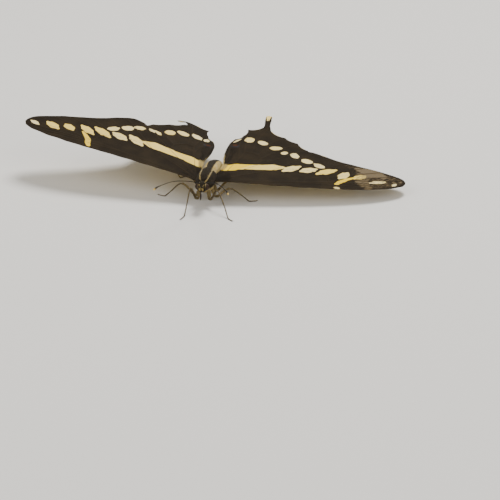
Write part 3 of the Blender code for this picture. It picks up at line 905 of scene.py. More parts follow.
FORE_MARKS = [
    *lozenges((43.8, 23.3, 2.8, 1.6, 0, 0.6), (36.4, 14.5, 4.5, 1.75, 5, 0.65),
              (31.9, 10.4, 3.5, 1.8, 12, 0.3), (27.6, 6.5, 4.2, 1.8, 0, 0.3),
              (37.3, 9.6, 2.4, 1.4, 80, 0.1), (36.0, 4.6, 2.2, 1.6, 75, 0.1)),
    Mark([(25.8, 4.5), (22.8, 2.5), (19.8, 0.6), (16.6, -1.5), (13.0, -3.8)],
         (0.7, 2.4, 1.9, 1.8, 1.7), 0.55),
]
FORE_SIDE_MARKS = {
    Side.LEFT: [
        *lozenges((50.5, 33.4, 1.35, 0.7, -18, 0.1), (46.5, 29.3, 3.1, 1.05, 21, 0.1),
                  (39.7, 19.6, 3.4, 1.65, -20, 0.35), (35.2, -1.1, 2.3, 1.4, -75, 0.1)),
        Mark([(42.2, 22.6), (39.0, 22.5), (35.6, 22.9), (33.2, 23.6)], (0.4, 0.8, 0.95, 0.7), 1.0),
        Mark.lozenge(31.4, 25.9, 1.1, 0.75, 51, 0.0),
    ],
    Side.RIGHT: [
        *lozenges((52.0, 32.1, 2.3, 0.9, 9, 0.1), (47.4, 27.7, 3.5, 1.6, 6, 0.6),
                  (39.6, 18.6, 4.1, 1.6, 0, 0.65), (34.8, 0.5, 2.1, 1.3, 60, 0.1)),
        Mark([(39.3, 20.7), (36.4, 21.2), (33.6, 22.0), (31.6, 23.4), (29.8, 24.2)],
             (0.3, 0.75, 0.95, 0.9, 0.6), 0.9),
        Mark.lozenge(31.9, -2.6, 1.5, 0.7, 10, 0.1),
    ],
}
HIND_BAND = [(0.8, -6.8), (4.2, -7.5), (9.0, -8.0), (14.0, -7.2), (18.5, -6.4), (23.0, -5.4)]
HIND_BAND_RADII = (1.5, 2.1, 2.5, 2.3, 2.3, 2.2)
HIND_SIDE_MARKS = {
    Side.LEFT: [
        Mark(HIND_BAND, HIND_BAND_RADII, 1.0),
        *lozenges((27.3, -18.3, 1.5, 1.05, -39, 0.3), (25.3, -22.5, 2.3, 1.6, 10, 0.2),
                  (21.7, -27.4, 2.1, 1.5, 60, 0.2), (17.6, -30.4, 2.3, 1.65, -60, 0.35)),
        Mark([(11.6, -28.9), (13.2, -30.2), (14.7, -31.2)], (0.2, 0.4, 0.2), 0.1),
        Mark([(27.8, -47.0), (28.9, -50.4)], (0.4, 0.85), 0.3),
    ],
    Side.RIGHT: [
        Mark(HIND_BAND, HIND_BAND_RADII, 0.7),
        *lozenges((28.8, -19.5, 2.9, 1.5, -15, 0.2), (25.7, -24.1, 2.5, 1.8, -75, 0.4),
                  (22.6, -27.8, 2.6, 1.8, -21, 0.3), (18.0, -29.6, 2.9, 1.5, -30, 0.1),
                  (14.4, -29.9, 1.7, 1.0, -75, 0.1)),
        Mark([(32.0, -43.5), (33.9, -44.9)], (0.5, 0.85), 0.3),
    ],
}
EYESPOT, EYESPOT_RADIUS, UNDER_EYESPOT_RADIUS = (11.6, -26.4), 0.85, 1.35
CRESCENT_RADIUS, CRESCENT_HALF_WIDTH = 1.5, 0.32
UNDER_SPOT, UNDER_SPOT_RADIUS = (17.6, -21.6), 1.5
UNDER_EDGE, UNDER_LINE_HALF_WIDTH = 0.7, 0.75
UNDER_BAND_HALF_WIDTHS = (2.1, 1.7)
UNDER_LINE = {
    Pair.FORE: [(50.8, 33.0), (49.6, 28.5), (47.6, 23.0), (43.9, 16.4), (40.9, 9.8), (39.2, 2.6)],
    Pair.HIND: [(32.4, -9.5), (33.2, -15.5), (31.9, -21.4), (28.9, -27.2), (25.4, -32.2), (21.0, -35.6),
                (17.4, -34.0)],
}
UNDER_BAND = {
    Pair.FORE: [(47.0, 31.6), (44.4, 25.9), (40.6, 20.6), (37.4, 13.6), (33.2, 8.2), (29.6, 1.6)],
    Pair.HIND: [(29.8, -5.5), (28.6, -12.6), (25.8, -18.6), (21.4, -23.2), (17.0, -25.6), (12.4, -25.0)],
}
WORN_PATCH = ((47.6, 18.0), (49.6, 22.6), (51.2, 26.6)), (1.2, 3.4, 1.6)
THIN_PATCH = ((41.0, 30.8), (42.0, 26.6), (45.4, 23.0)), (1.6, 2.4, 2.4)
TAIL_AXES = {
    Side.LEFT: [(25.4, -38.2), (26.6, -42.6), (27.9, -46.9), (28.9, -50.0)],
    Side.RIGHT: [(25.4, -38.2), (28.5, -41.1), (31.8, -43.5), (34.4, -45.3)],
}
TAIL_VEINS = {Side.LEFT: [(26.7, -43), (28.2, -48)], Side.RIGHT: [(28.6, -41.2), (33.0, -44.4)]}
TAIL_HALF_WIDTHS = (1.75, 1.2, 1.35, 1.3)
TAIL_JOIN = 8
SCALLOP_DEPTH = 0.62
CORNER_POINTS = 31
FRINGE, FRINGE_END = 0.34, 0.995
FAR_OUTSIDE = -9.0
FORE_VEINS = {
    "subcosta": [(1, 2.4), (3, 3.8), (13, 12.4), (24, 20.6), (36, 29.7)],
    "radius": [(0, 0.9), (2, 2.2), (12, 9), (22, 15.4), (32, 21)],
    "radius_1": [(22, 15.4), (32, 23.6), (44, 33.6)],
    "radius_2": [(28, 18.9), (38, 26.6), (49.5, 35.3)],
    "radius_3": [(32, 21), (42, 28), (53.4, 35)],
    "radius_5": [(32, 21), (39, 23.6), (46.1, 25.6), (55.6, 28.9)],
    "radius_4": [(39, 23.6), (49.6, 30.1), (55.9, 32)],
    "cell_end": [(32, 21), (33.6, 18.4), (33.9, 15.2), (31, 10.4)],
    "media_1": [(33.6, 18.4), (42.6, 20.8), (54, 24.3)],
    "media_2": [(33.9, 15.2), (38.8, 16.5), (51.2, 18.8)],
    "media_3": [(31, 10.4), (34.5, 12), (40, 12.2), (48.2, 13)],
    "cubitus": [(0, 0.2), (2, 0.6), (12, 2.4), (21, 4.3), (27, 7), (31, 10.4)],
    "cubitus_1": [(27, 7), (30.2, 7.9), (37.6, 6.9), (45.8, 7)],
    "cubitus_2": [(21, 4.3), (25.5, 3.7), (36.2, 1.8), (43.6, 1.3)],
    "anal": [(0, -0.6), (1.8, -0.8), (10, -1.2), (22, -1.7), (32, -2.2), (40.6, -2.4)],
}
HIND_VEINS = {
    "subcosta": [(0, 0.2), (3, 0.4), (12, 0.6), (24, -2), (35.6, -9.5)],
    "radius": [(0, 0), (1.6, 0), (8, -2.2), (16, -9), (18.2, -14)],
    "radial_sector": [(16, -9), (26, -14.2), (35.8, -19.2)],
    "media_1": [(18.2, -14), (27.9, -22), (33.8, -25.4)],
    "cell_end": [(18.2, -14), (17.8, -17), (15.8, -19.4), (13.6, -20)],
    "media_2": [(17.8, -17), (24.3, -26.6), (30.7, -31.2)],
    "media_3": [(15.8, -19.4), (20.6, -30.2), (25.6, -38.8)],
    "cubitus": [(0, -0.4), (1.6, -0.9), (5, -6), (10.4, -14.5), (13.6, -20)],
    "cubitus_1": [(13.6, -20), (16.6, -31), (18.6, -38.8)],
    "cubitus_2": [(10.4, -14.5), (13.2, -26.5), (15.5, -33.2)],
    "anal": [(2.6, -5), (6.9, -17), (11.2, -29.6)],
}


def drawn_in(line: Array, inward: int) -> Array:
    """A margin moved by the fringe's depth, to the side that inward (1 or -1) names.

    The way across is averaged over a few points, so that the line doesn't cross itself at a corner.
    """
    half = CORNER_POINTS // 2
    weights = np.hanning(CORNER_POINTS + 2)[1:-1]
    slopes = np.pad(np.gradient(line, axis=0), ((half, half), (0, 0)), "edge")
    ahead = unit(np.stack([np.convolve(column, weights, "valid") for column in slopes.T], axis=1))
    return line + quarter_turn(ahead) * FRINGE * inward


def scalloped(teeth: Line) -> Array:
    """Teeth joined by shallow hollows, each as deep as 4 x depth x share x (1 - share)."""
    known = np.asarray(teeth, float)
    share = (np.arange(14) / 14)[None, :, None]
    run = np.diff(known, axis=0)[:, None]
    inward = -unit(quarter_turn(run))
    points = known[:-1, None] + run * share + inward * (4 * share * (1 - share) * SCALLOP_DEPTH)
    return np.vstack([points.reshape(-1, 2), known[-1:]])


@dataclass
class WingPlan:
    """Flat outline, veins and marks of one wing, with the place and turn of its root."""

    side: Side
    pair: Pair
    root_y: float
    turn: float
    front: Array = field(init=False)
    rear: Array = field(init=False)
    margin: Array = field(init=False)
    veins: dict[str, Line] = field(init=False)
    marks: list[Mark] = field(init=False)

    def unturned(self, forward: float) -> tuple[float, float]:
        """Flat coordinates of a point of the root, which is set in towards the body."""
        cosine, sine = math.cos(self.turn), math.sin(self.turn)
        return -cosine * ROOT_INSET + sine * forward, cosine * forward + sine * ROOT_INSET

    def posed(self, flat: Array, lift: Array | float = 0.0) -> Array:
        """Flat points on the posed wing.

        The plan is turned about the root, out = u cos - v sin and forward = u sin + v cos, and each
        point is then raised to the wing's surface.

        Args:
            flat: Points in u and v.
            lift: Height above the middle surface.

        Returns:
            Points of the butterfly.
        """
        cosine, sine = math.cos(self.turn), math.sin(self.turn)
        outward = cosine * flat[:, 0] - sine * flat[:, 1]
        y = self.root_y - (sine * flat[:, 0] + cosine * flat[:, 1])
        z = HOLDS[self.side].height(self.pair, outward, y) + lift
        return np.stack([self.side.value * (ROOT_X + outward), y, z], axis=1)

    def mark_reach(self, flat: Array) -> list[Array]:
        """How far inside each pale mark the flat points lie."""
        return [stroke_reach(flat, mark.line, mark.radii) for mark in self.marks]


@dataclass
class ForewingPlan(WingPlan):
    """The forewing: its costa to the apex in front, its inner and outer margins behind."""

    pair: Pair = Pair.FORE
    root_y: float = 0.0
    turn: float = math.radians(-47.0)
    apex: int = 34
    rows: int = 390

    def __post_init__(self) -> None:
        """Draw the outline."""
        tip = [(52.5, 35.9), (55.3, 34.2), (56.2, 31.2)]
        costa = spline([self.unturned(1.75), (4.5, 5.6), (9, 9.7), (17, 16.5), (25, 22.7), (33, 28.3),
                        (41, 32.8), (48, 35.4), tip[0]], 24)
        edge = spline([*tip, (55.2, 27.5), (52.3, 21.3), (48.7, 15.3), (45.6, 9.2), (43.9, 3.5),
                       (41.8, -1.2), (38.0, -3.2)], 24)
        inner = spline([(38.0, -3.2), (30, -3.6), (20, -3.1), (10, -2.8), self.unturned(-1.0)], 24)
        shares = np.linspace(0, 1, self.rows + 1)[:-1]
        front = np.vstack([costa, edge[1:self.apex]])
        rear = np.vstack([inner[::-1], edge[self.apex - 1:-1][::-1]])
        self.front, self.rear = drawn_in(evenly(front, shares), -1), drawn_in(evenly(rear, shares), 1)
        self.margin = np.vstack([costa, edge[1:], inner[1:]])
        self.veins = FORE_VEINS
        self.marks = FORE_MARKS + FORE_SIDE_MARKS[self.side]


@dataclass
class HindwingPlan(WingPlan):
    """The hindwing: its front and outer margins on one side, its inner margin on the other."""

    pair: Pair = Pair.HIND
    root_y: float = HIND_ROOT_Y
    turn: float = math.radians(-20.8)
    body_rows: int = 310
    tail_rows: int = 80

    def __post_init__(self) -> None:
        """Draw the outline."""
        teeth = [(36.9, -13), (36.3, -19.5), (34.0, -25.8), (30.7, -31.4), (27.4, -36.2)]
        inner_teeth = [(23.3, -40.1), (18.8, -39.8), (15.9, -34.2), (12.4, -31.6)]
        costa = spline([self.unturned(1.1), (5, 2.5), (14, 3), (24, 1.5), (31, -2), (35.3, -7), teeth[0]], 20)
        inner_edge = spline([inner_teeth[-1], (9.8, -28), (7.2, -22), (5, -15.6), (3.3, -9),
                             self.unturned(-1.1)], 20)
        outer_tail, inner_tail = self.tail_edge(1), self.tail_edge(-1)
        outer = np.vstack([costa, scalloped(teeth)[1:], outer_tail[:TAIL_JOIN]])
        outer_tail, inner_tail = outer_tail[TAIL_JOIN - 1:], inner_tail[TAIL_JOIN - 1:]
        inner = np.vstack([inner_tail[:1], scalloped(inner_teeth), inner_edge[1:]])[::-1]
        body, tail = np.linspace(0, 1, self.body_rows + 1)[:-1], np.linspace(0, 1, self.tail_rows)
        self.front = drawn_in(np.vstack([evenly(outer, body), evenly(outer_tail, tail)]), -1)
        self.rear = drawn_in(np.vstack([evenly(inner, body), evenly(inner_tail, tail)]), 1)
        self.margin = np.vstack([outer, outer_tail, inner_tail[::-1], inner[::-1]])
        self.veins = {**HIND_VEINS, "media_3": HIND_VEINS["media_3"] + TAIL_VEINS[self.side]}
        self.marks = HIND_SIDE_MARKS[self.side]

    def tail_edge(self, way: int) -> Array:
        """The tail's edge on one side of its axis (1 or -1), with its half of the round end."""
        axis = spline(TAIL_AXES[self.side], 12)
        ahead = unit(np.gradient(axis, axis=0))
        across = quarter_turn(ahead) * way
        bend = np.radians(np.linspace(85, 2, 14))[:, None]
        end = axis[-1] + TAIL_HALF_WIDTHS[-1] * (ahead[-1] * np.cos(bend) + across[-1] * np.sin(bend))
        return np.vstack([axis + across * profile(len(axis), TAIL_HALF_WIDTHS)[:, None], end])


@dataclass(frozen=True)
class RootHair:
    """Hair at a wing's root: its count, reach outward and the wing's length along the rows.

    It is shortest to longest at the root, and shrinks outward by its distance over the fading.
    """

    count: int
    reach: float
    wing_length: float
    shortest: float = 0.9
    longest: float = 2.1
    fading: float = 40.0
    width: float = 0.06
    lean: float = 12.0


ROOT_HAIR = {Pair.FORE: RootHair(900, 6.0, 68.0), Pair.HIND: RootHair(2200, 26.0, 62.0)}
PALE_INNER_EDGE = {Side.LEFT: 0.75, Side.RIGHT: 0.45}
MAP_SIZE, MAP_UPPER, MAP_LOWER = (0.98, 0.475), (0.01, 0.515), (0.01, 0.025)
MAP_EDGE_TOP, MAP_EDGE_FOOT = 0.012, 0.004


@dataclass
class Wing:
    """One wing: a thin closed sheet with raised veins, a fringe and hair at its root."""

    plan: WingPlan
    finish: bpy.types.Material
    hair: bpy.types.Material
    columns: int = 96
    half_thickness: float = 0.05
    lower_share: float = 0.9
    vein_height: float = 0.13
    vein_width: float = 0.17
    vein_widening: float = 0.15
    billow: float = 0.1
    ripple_size: float = 9.0
    ripple_height: float = 0.13
    fringe_step: float = 0.09
    fringe_lengths: tuple[float, float] = (0.16, 0.27)
    fringe_width: float = 0.1
    fringe_lean: float = 4.0
    fringe_sunk: float = 0.06
    fringe_seeds: tuple[int, int] = (5, 31)
    hair_seeds: tuple[int, int] = (71, 72)

    def __post_init__(self) -> None:
        """Note which pair and side the wing is of."""
        self.fore = self.plan.pair is Pair.FORE
        self.left = self.plan.side is Side.LEFT

    def distances(self, flat: Array) -> tuple[Array, Array]:
        """Distance of each flat point to the nearest vein and to the wing's edge."""
        veins = [spline(line, 8) for line in self.plan.veins.values()]
        return distance_to(flat, veins), distance_to(flat, [self.plan.margin[::3]])

    def markings(self, flat: Array, vein: Array, rim: Array) -> dict[str, Array]:
        """What the material needs to know at each point: distances into each kind of mark.

        Args:
            flat: Points of the flat wing.
            vein: Distance to the nearest vein.
            rim: Distance to the edge.

        Returns:
            Values by name, in millimetres or from 0 to 1.
        """
        reach = self.plan.mark_reach(flat)
        pale = np.max(reach, axis=0)
        warmths = np.array([mark.warmth for mark in self.plan.marks])
        away = np.hypot(flat[:, 0], flat[:, 1])
        sheet = np.full(len(flat), 40.0 * self.fore + self.plan.side.value)
        values = {
            "flat": np.column_stack([flat, sheet]),
            "pale": pale,
            "vein": vein,
            "warm": warmths[np.argmax(reach, axis=0)],
            "dusting": soft_step(-away, -12, -3) * 0.5 + soft_step(pale, -1.2, 0) * 0.2,
            "wear": self.wear(flat, rim) if self.fore and self.left else np.zeros(len(flat)),
            **{name: np.full(len(flat), FAR_OUTSIDE) for name in ("eyespot", "blue", "under_blue", "brick")},
        }
        line, band = UNDER_LINE[self.plan.pair], UNDER_BAND[self.plan.pair]
        bays = np.clip(1.3 - vein, 0, 1)
        line = stroke_reach(flat, line, [UNDER_LINE_HALF_WIDTH] * len(line))
        edge = np.maximum(UNDER_EDGE - rim, line + bays * 0.3)
        band = stroke_reach(flat, band, np.linspace(*UNDER_BAND_HALF_WIDTHS, len(band)))
        if self.fore:
            values["under_dark"] = np.maximum(edge, band - 0.4) - soft_step(pale, -0.9, 0.2) * 2.5
            return values
        beside, ahead = (flat - EYESPOT).T
        eye, crescent = np.hypot(beside, ahead), np.hypot(beside + 0.2, ahead)
        spot = np.hypot(*(flat - UNDER_SPOT).T)
        values["under_dark"] = np.maximum(edge, band)
        values["under_blue"] = band - 1.1 - bays * 1.6
        values["brick"] = np.maximum(UNDER_EYESPOT_RADIUS - eye, UNDER_SPOT_RADIUS - spot)
        values["eyespot"] = EYESPOT_RADIUS - eye
        ring = CRESCENT_HALF_WIDTH - np.abs(crescent - CRESCENT_RADIUS)
        values["blue"] = np.minimum(ring, ahead - 0.5)
        return values

    def wear(self, flat: Array, rim: Array) -> Array:
        """How far the left forewing's tip has lost its scales, most along its outer edge.

        Args:
            flat: Points of the flat wing.
            rim: Distance to the edge.

        Returns:
            0 where whole to 1 where bare.
        """
        bare, thin = stroke_reach(flat, *WORN_PATCH), stroke_reach(flat, *THIN_PATCH)
        tip = soft_step(flat[:, 0] + 0.3 * (flat[:, 1] - 20), 40.0, 47.0) * 0.43
        rust = 0.62 * soft_step(thin, -1.6, 0.9)
        return np.max([soft_step(bare, -1.4, 1.2), rust, tip * soft_step(rim, 0.2, 1.6)], axis=0)

    def sheet(self) -> Form:
        """The membrane: points at (1 - t) x front(s) + t x rear(s), doubled into two faces.

        The upper face stands half a thickness and the veins' relief, height x exp(-(distance /
        width) squared), above the middle surface, and the lower face nine tenths as far below.
        """
        front, rear = self.plan.front, self.plan.rear
        rows, columns = len(front), self.columns
        t = np.linspace(0, 1, columns)[None, :, None]
        flat = (front[:, None] * (1 - t) + rear[:, None] * t).reshape(-1, 2)
        vein, rim = self.distances(flat)
        width = self.vein_width + self.vein_widening * np.clip(rim / 14, 0, 1)
        relief = self.vein_height * np.exp(-(vein / width) ** 2) * soft_step(rim, 0, 1.2)
        hollow = self.billow * (1 - np.exp(-(vein / 1.7) ** 2)) * soft_step(rim, 0, 3)
        seed = 11 + 7 * (not self.left) + 3 * (not self.fore)
        loose = ripples(flat, seed, self.ripple_size) * self.ripple_height
        loose = loose * soft_step(-rim, -4, 0) * soft_step(flat[:, 0], 6, 14)
        shape = self.half_thickness + relief
        upper = self.plan.posed(flat, loose - hollow + shape)
        lower = self.plan.posed(flat, loose - hollow - shape * self.lower_share)
        values = self.markings(flat, vein, rim)
        both = {name: np.concatenate([value, value]) for name, value in values.items()}
        count = len(flat)
        both["under"] = np.repeat([0.0, 1.0], count)
        faces = grid_quads(rows, columns)
        ring = np.concatenate([np.arange(columns), np.arange(1, rows) * columns + columns - 1,
                               (rows - 1) * columns + np.arange(columns - 1)[::-1],
                               np.arange(1, rows - 1)[::-1] * columns])
        after = np.roll(ring, -1)
        wall = np.stack([after + count, ring + count, ring, after], axis=1)
        quads = np.concatenate([faces[:, ::-1], faces + count, wall])
        spot = self.on_map(flat) * MAP_SIZE
        start = np.arange(len(ring)) / len(ring)
        end = start + 1 / len(ring)
        strip = [np.column_stack([across, np.full(len(ring), up)])
                 for across, up in ((end, MAP_EDGE_TOP), (start, MAP_EDGE_TOP),
                                    (start, MAP_EDGE_FOOT), (end, MAP_EDGE_FOOT))]
        unwrap = np.concatenate([(spot + MAP_UPPER)[faces[:, ::-1]], (spot + MAP_LOWER)[faces],
                                 np.stack(strip, axis=1)])
        form = Form(np.concatenate([upper, lower]), quads, values=both, unwrap=unwrap)
        return form if self.left else form.flipped()

    def on_map(self, flat: Array) -> Array:
        """Flat points as shares of the wing's own width and length."""
        low, high = self.plan.margin.min(axis=0), self.plan.margin.max(axis=0)
        return (flat - low) / (high - low)

    def fringe(self) -> Form:
        """Short flat hairs along the outer edge, set along the plan's margin."""
        plan, end = self.plan, FRINGE_END
        lines = [(plan.rear, 0.46, 1)] if self.fore else [(plan.rear, 0.3, 1), (plan.front, 0.42, -1)]
        length = length_so_far(plan.rear)[-1]
        flats, ways = [], []
        for line, start, outward in lines:
            along = evenly(line, np.linspace(start, end, int(length * (end - start) / self.fringe_step)))
            flats.append(along)
            ways.append(-quarter_turn(unit(np.gradient(along, axis=0))) * outward)
        flat, way = np.concatenate(flats), np.concatenate(ways)
        place_seed, spike_seed = self.fringe_seeds
        draw = np.random.default_rng(place_seed + plan.side.value)
        roots = plan.posed(flat)
        lies = unit(plan.posed(flat + way * 0.2) - roots)
        normals = np.tile(UPWARD, (len(flat), 1))
        lengths = draw.uniform(*self.fringe_lengths, len(flat)) + self.half_thickness
        widths = np.full(len(flat), self.fringe_width)
        form = tufts(roots - lies * self.fringe_sunk, normals, lies, lengths, widths,
                     self.fringe_lean, spike_seed)
        vein, rim = self.distances(flat)
        marks = self.markings(flat, vein, rim)
        marks["pale"] = soft_step(vein, 1.0, 2.2) * 1.5 - 1.0
        form.values = {"bake": form.values["bake"]}
        for name, value in {**marks, "bake": self.on_map(flat) * 0.99}.items():
            form.add(name, value)
        form.fill("under", 0.0)
        return form

    def root_hair(self) -> Form:
        """Long soft hair over the wing's root, and along the hindwing's inner edge."""
        kind, plan = ROOT_HAIR[self.plan.pair], self.plan
        place_seed, spike_seed = self.hair_seeds
        draw = np.random.default_rng(place_seed + plan.side.value)
        away = draw.uniform(0, 1, kind.count) ** 1.3 * kind.reach
        if self.fore:
            t = draw.uniform(0.02, 0.98, kind.count)
        else:
            t = 1 - draw.uniform(0.0, 1.0, kind.count) ** 1.6 * np.where(away < 6, 0.9, 0.12)
        rows = np.clip(away / kind.wing_length, 0, 0.98)
        index = rows * (len(plan.front) - 1)
        front, rear = (read_off(index, np.arange(len(line)), line) for line in (plan.front, plan.rear))
        flat = front * (1 - t[:, None]) + rear * t[:, None]
        ahead = unit(flat + (1.0, 0.0) if self.fore else flat * (0.3, 1.0) - (0.0, 3.0))
        roots = plan.posed(flat, self.half_thickness)
        lies = unit(plan.posed(flat + ahead * 0.3, self.half_thickness) - roots)
        normals = np.tile(UPWARD, (kind.count, 1))
        lengths = draw.uniform(kind.shortest, kind.longest, kind.count) * (1 - away / kind.fading)
        form = tufts(roots, normals, lies, lengths, np.full(kind.count, kind.width), kind.lean, spike_seed)
        light = soft_step(np.max(plan.mark_reach(flat), axis=0), -0.4, 0.4)
        if not self.fore:
            edge = soft_step(t, 0.955, 0.99) * soft_step(-away, -25, -12) * PALE_INNER_EDGE[plan.side]
            light = np.maximum(edge, light)
        form.add("light", light)
        form.add("bake", np.column_stack([rows, t]) * 0.9 + 0.05)
        return form

    def build(self) -> None:
        """Make the wing's three pieces."""
        name = f"{self.plan.pair.value}_{self.plan.side.word}"
        make_piece(f"{name}_scaled", self.sheet(), self.finish, [name])
        make_piece(f"{name}_fringe", self.fringe(), self.finish)
        make_piece(f"{name}_root_hair", self.root_hair(), self.hair)


# Body, eyes, mouth, feelers and legs


@dataclass
class Body:
    """Head, thorax and abdomen under one skin, with their coat."""

    skin: bpy.types.Material
    hair: bpy.types.Material
    sections: Line = (
        (-9.12, 0.10, 0.10, 8.40), (-9.02, 0.62, 0.62, 8.42), (-8.7, 1.08, 1.08, 8.46),
        (-8.1, 1.36, 1.42, 8.5), (-7.3, 1.46, 1.6, 8.5), (-6.5, 1.34, 1.46, 8.48),
        (-5.9, 1.05, 1.14, 8.40), (-5.5, 0.92, 0.98, 8.34), (-5.1, 1.12, 1.16, 8.28),
        (-4.5, 1.8, 1.85, 8.12), (-3.5, 2.4, 2.6, 7.92), (-2.2, 2.72, 3.05, 7.75),
        (-0.8, 2.82, 3.3, 7.62), (0.8, 2.82, 3.4, 7.52), (2.5, 2.78, 3.28, 7.46),
        (4.0, 2.62, 2.95, 7.46), (5.2, 2.36, 2.5, 7.5), (6.1, 2.02, 2.06, 7.5),
        (6.8, 1.86, 1.84, 7.5), (7.6, 2.0, 1.98, 7.47), (9.1, 2.22, 2.2, 7.38),
        (11.5, 2.42, 2.4, 7.1), (14.0, 2.46, 2.44, 6.52), (16.4, 2.42, 2.4, 5.78),
        (18.7, 2.28, 2.26, 5.02), (21.0, 2.06, 2.04, 4.28), (23.3, 1.72, 1.7, 3.53),
        (25.6, 1.26, 1.25, 2.79), (27.2, 0.84, 0.84, 2.27), (27.95, 0.5, 0.5, 2.02),
        (28.15, 0.12, 0.12, 1.96),
    )
    coats: tuple[tuple[str, float, float, Coat], ...] = (
        ("head_hair", -8.95, -5.4, Coat(3600, 0.35, 0.7, 0.075, 32.0, 101)),
        ("thorax_hair", -5.4, 6.6, Coat(15000, 0.7, 1.45, 0.085, 24.0, 103)),
        ("abdomen_scales", 6.2, 28.0, Coat(13000, 0.32, 0.6, 0.12, 9.0, 105)),
    )
    rings_from: float = 8.0
    ring_step: float = 2.45
    groove_depth: float = 0.1
    groove_width: float = 0.16
    fineness: int = 14
    sides: int = 96

    def __post_init__(self) -> None:
        """Sample the row of sections finely."""
        self.table = spline(self.sections, self.fineness)

    def surface(self, along: Array, around: Array) -> Array:
        """Points of the skin: each section is an oval, its width x sin a and its height x cos a.

        A shallow groove runs round the abdomen at each ring's end.

        Args:
            along: Place along the body.
            around: Angle from the middle of the back, towards the left.

        Returns:
            Points of the butterfly.
        """
        wide, high, middle = (np.interp(along, self.table[:, 0], row) for row in self.table[:, 1:].T)
        ring = (along - self.rings_from) / self.ring_step
        away = np.abs(ring - np.round(ring)) * self.ring_step
        groove = self.groove_depth * np.exp(-(away / self.groove_width) ** 2)
        groove = groove * soft_step(along, 8.5, 9.5) * soft_step(-along, -26.5, -25.5)
        x = (wide - groove) * np.sin(around)
        z = middle + (high - groove) * np.cos(around)
        return np.stack([x, along, z], axis=-1)

    def normal(self, along: Array, around: Array) -> Array:
        """Outward direction of the skin, from its slopes along and round the body."""
        run = self.surface(along + 0.02, around) - self.surface(along - 0.02, around)
        turn = self.surface(along, around + 0.01) - self.surface(along, around - 0.01)
        return unit(np.cross(turn, run))

    def build_skin(self) -> None:
        """One closed skin over the whole body."""
        around = np.arange(self.sides) / self.sides * FULL_TURN
        grid_along, grid_around = np.meshgrid(self.table[:, 0], around, indexing="ij")
        form = ring_form(self.surface(grid_along, grid_around))
        lean = np.abs((grid_around + math.pi) % FULL_TURN - math.pi) / math.pi
        form.values["along"] = np.append(grid_along, self.table[[0, -1], 0])
        form.values["lean"] = np.append(lean, [0.5, 0.5])
        make_piece("body_skin", form, self.skin, ["thorax", "head", "abdomen"])

    def build_coat(self, name: str, start: float, end: float, coat: Coat) -> None:
        """Cover a length of the body with tufts that lie towards the tail.

        Args:
            name: The piece's name.
            start: Its front end along the body.
            end: Its rear end.
            coat: Its tufts.
        """
        draw = np.random.default_rng(coat.seed)
        places = np.linspace(start, end, 200)
        chance = np.cumsum(np.interp(places, self.table[:, 0], self.table[:, 1] + self.table[:, 2]))
        along = np.interp(draw.uniform(0, chance[-1], coat.count), chance, places)
        around = draw.uniform(-math.pi, math.pi, coat.count)
        roots = self.surface(along, around)
        lies = unit(self.surface(along + 0.05, around) - roots)
        form = coat.grown(draw, roots, self.normal(along, around), lies)
        form.add("along", along)
        form.add("lean", np.abs(around) / math.pi)
        place = np.column_stack([(around + math.pi) / FULL_TURN, (along - start) / (end - start)])
        form.add("bake", place * 0.95 + 0.02)
        make_piece(name, form, self.hair)

    def build(self) -> None:
        """Make the skin and the three coats."""
        self.build_skin()
        for name, start, end, coat in self.coats:
            self.build_coat(name, start, end, coat)


EYE_WAVES = {"wave_a": 0.0, "wave_b": math.pi / 3 * 2, "wave_c": math.pi / 3 * 4}


@dataclass
class Eye:
    """A domed eye seated in the side of the head."""

    side: Side
    finish: bpy.types.Material
    centre: Place = (1.02, -7.48, 8.58)
    radii: Place = (1.42, 1.12, 1.26)
    rings: int = 40
    sides: int = 56

    def build(self) -> None:
        """Make the dome: centre + radii x the unit sphere, and a paler rim where it is seated."""
        turn = np.linspace(0, math.pi, self.rings)[1:-1, None]
        about = (np.arange(self.sides) / self.sides * FULL_TURN)[None]
        dome = np.stack([np.cos(turn) + 0 * about, np.sin(turn) * np.cos(about),
                         np.sin(turn) * np.sin(about)], axis=-1)
        form = ring_form(dome * self.radii + self.centre).flipped()
        form.values["rim"] = soft_step(-np.append(dome[:, :, 0], [1.0, -1.0]), -0.3, -0.12)
        ahead, over = (np.append(turn * dome[:, :, k] / np.sin(turn), [0, 0]) * self.radii[2] for k in (1, 2))
        for name, way in EYE_WAVES.items():
            form.values[name] = ahead * math.cos(way) + over * math.sin(way)
        name = f"eye_{self.side.word}"
        make_piece(f"{name}_facets", form.on(self.side), self.finish, [name])


@dataclass
class Antenna:
    """A ringed feeler that thickens into a club."""

    side: Side
    finish: bpy.types.Material
    line: Line = ((0.62, -7.55, 9.5), (0.8, -7.9, 9.9), (3.4, -12.8, 12.6), (7.4, -19.6, 15.2),
                  (11.0, -26.0, 16.0), (12.4, -28.8, 15.8))
    steps: int = 205
    sides: int = 16
    rings: int = 34
    ring_depth: float = 0.12

    def build(self) -> None:
        """Make the feeler: a tube whose radius swells at each ring and at the club."""
        run = np.linspace(0, 1, self.steps)
        path = evenly(spline(self.line, 24), run)
        radii = np.interp(run, [0, 0.02, 0.05, 0.07, 0.82, 0.9, 0.965, 0.99, 1],
                          [0.2, 0.3, 0.3, 0.15, 0.13, 0.2, 0.36, 0.24, 0.06])
        radii = radii * (1 - self.ring_depth * np.abs(np.sin(run * self.rings * math.pi)) ** 6)
        form = tube(path, radii, self.sides, UPWARD)
        form.values["light"] = soft_step(form.values["run"], 0.955, 0.985)
        name = f"antenna_{self.side.word}"
        make_piece(f"{name}_ringed", form.on(self.side), self.finish, [name])


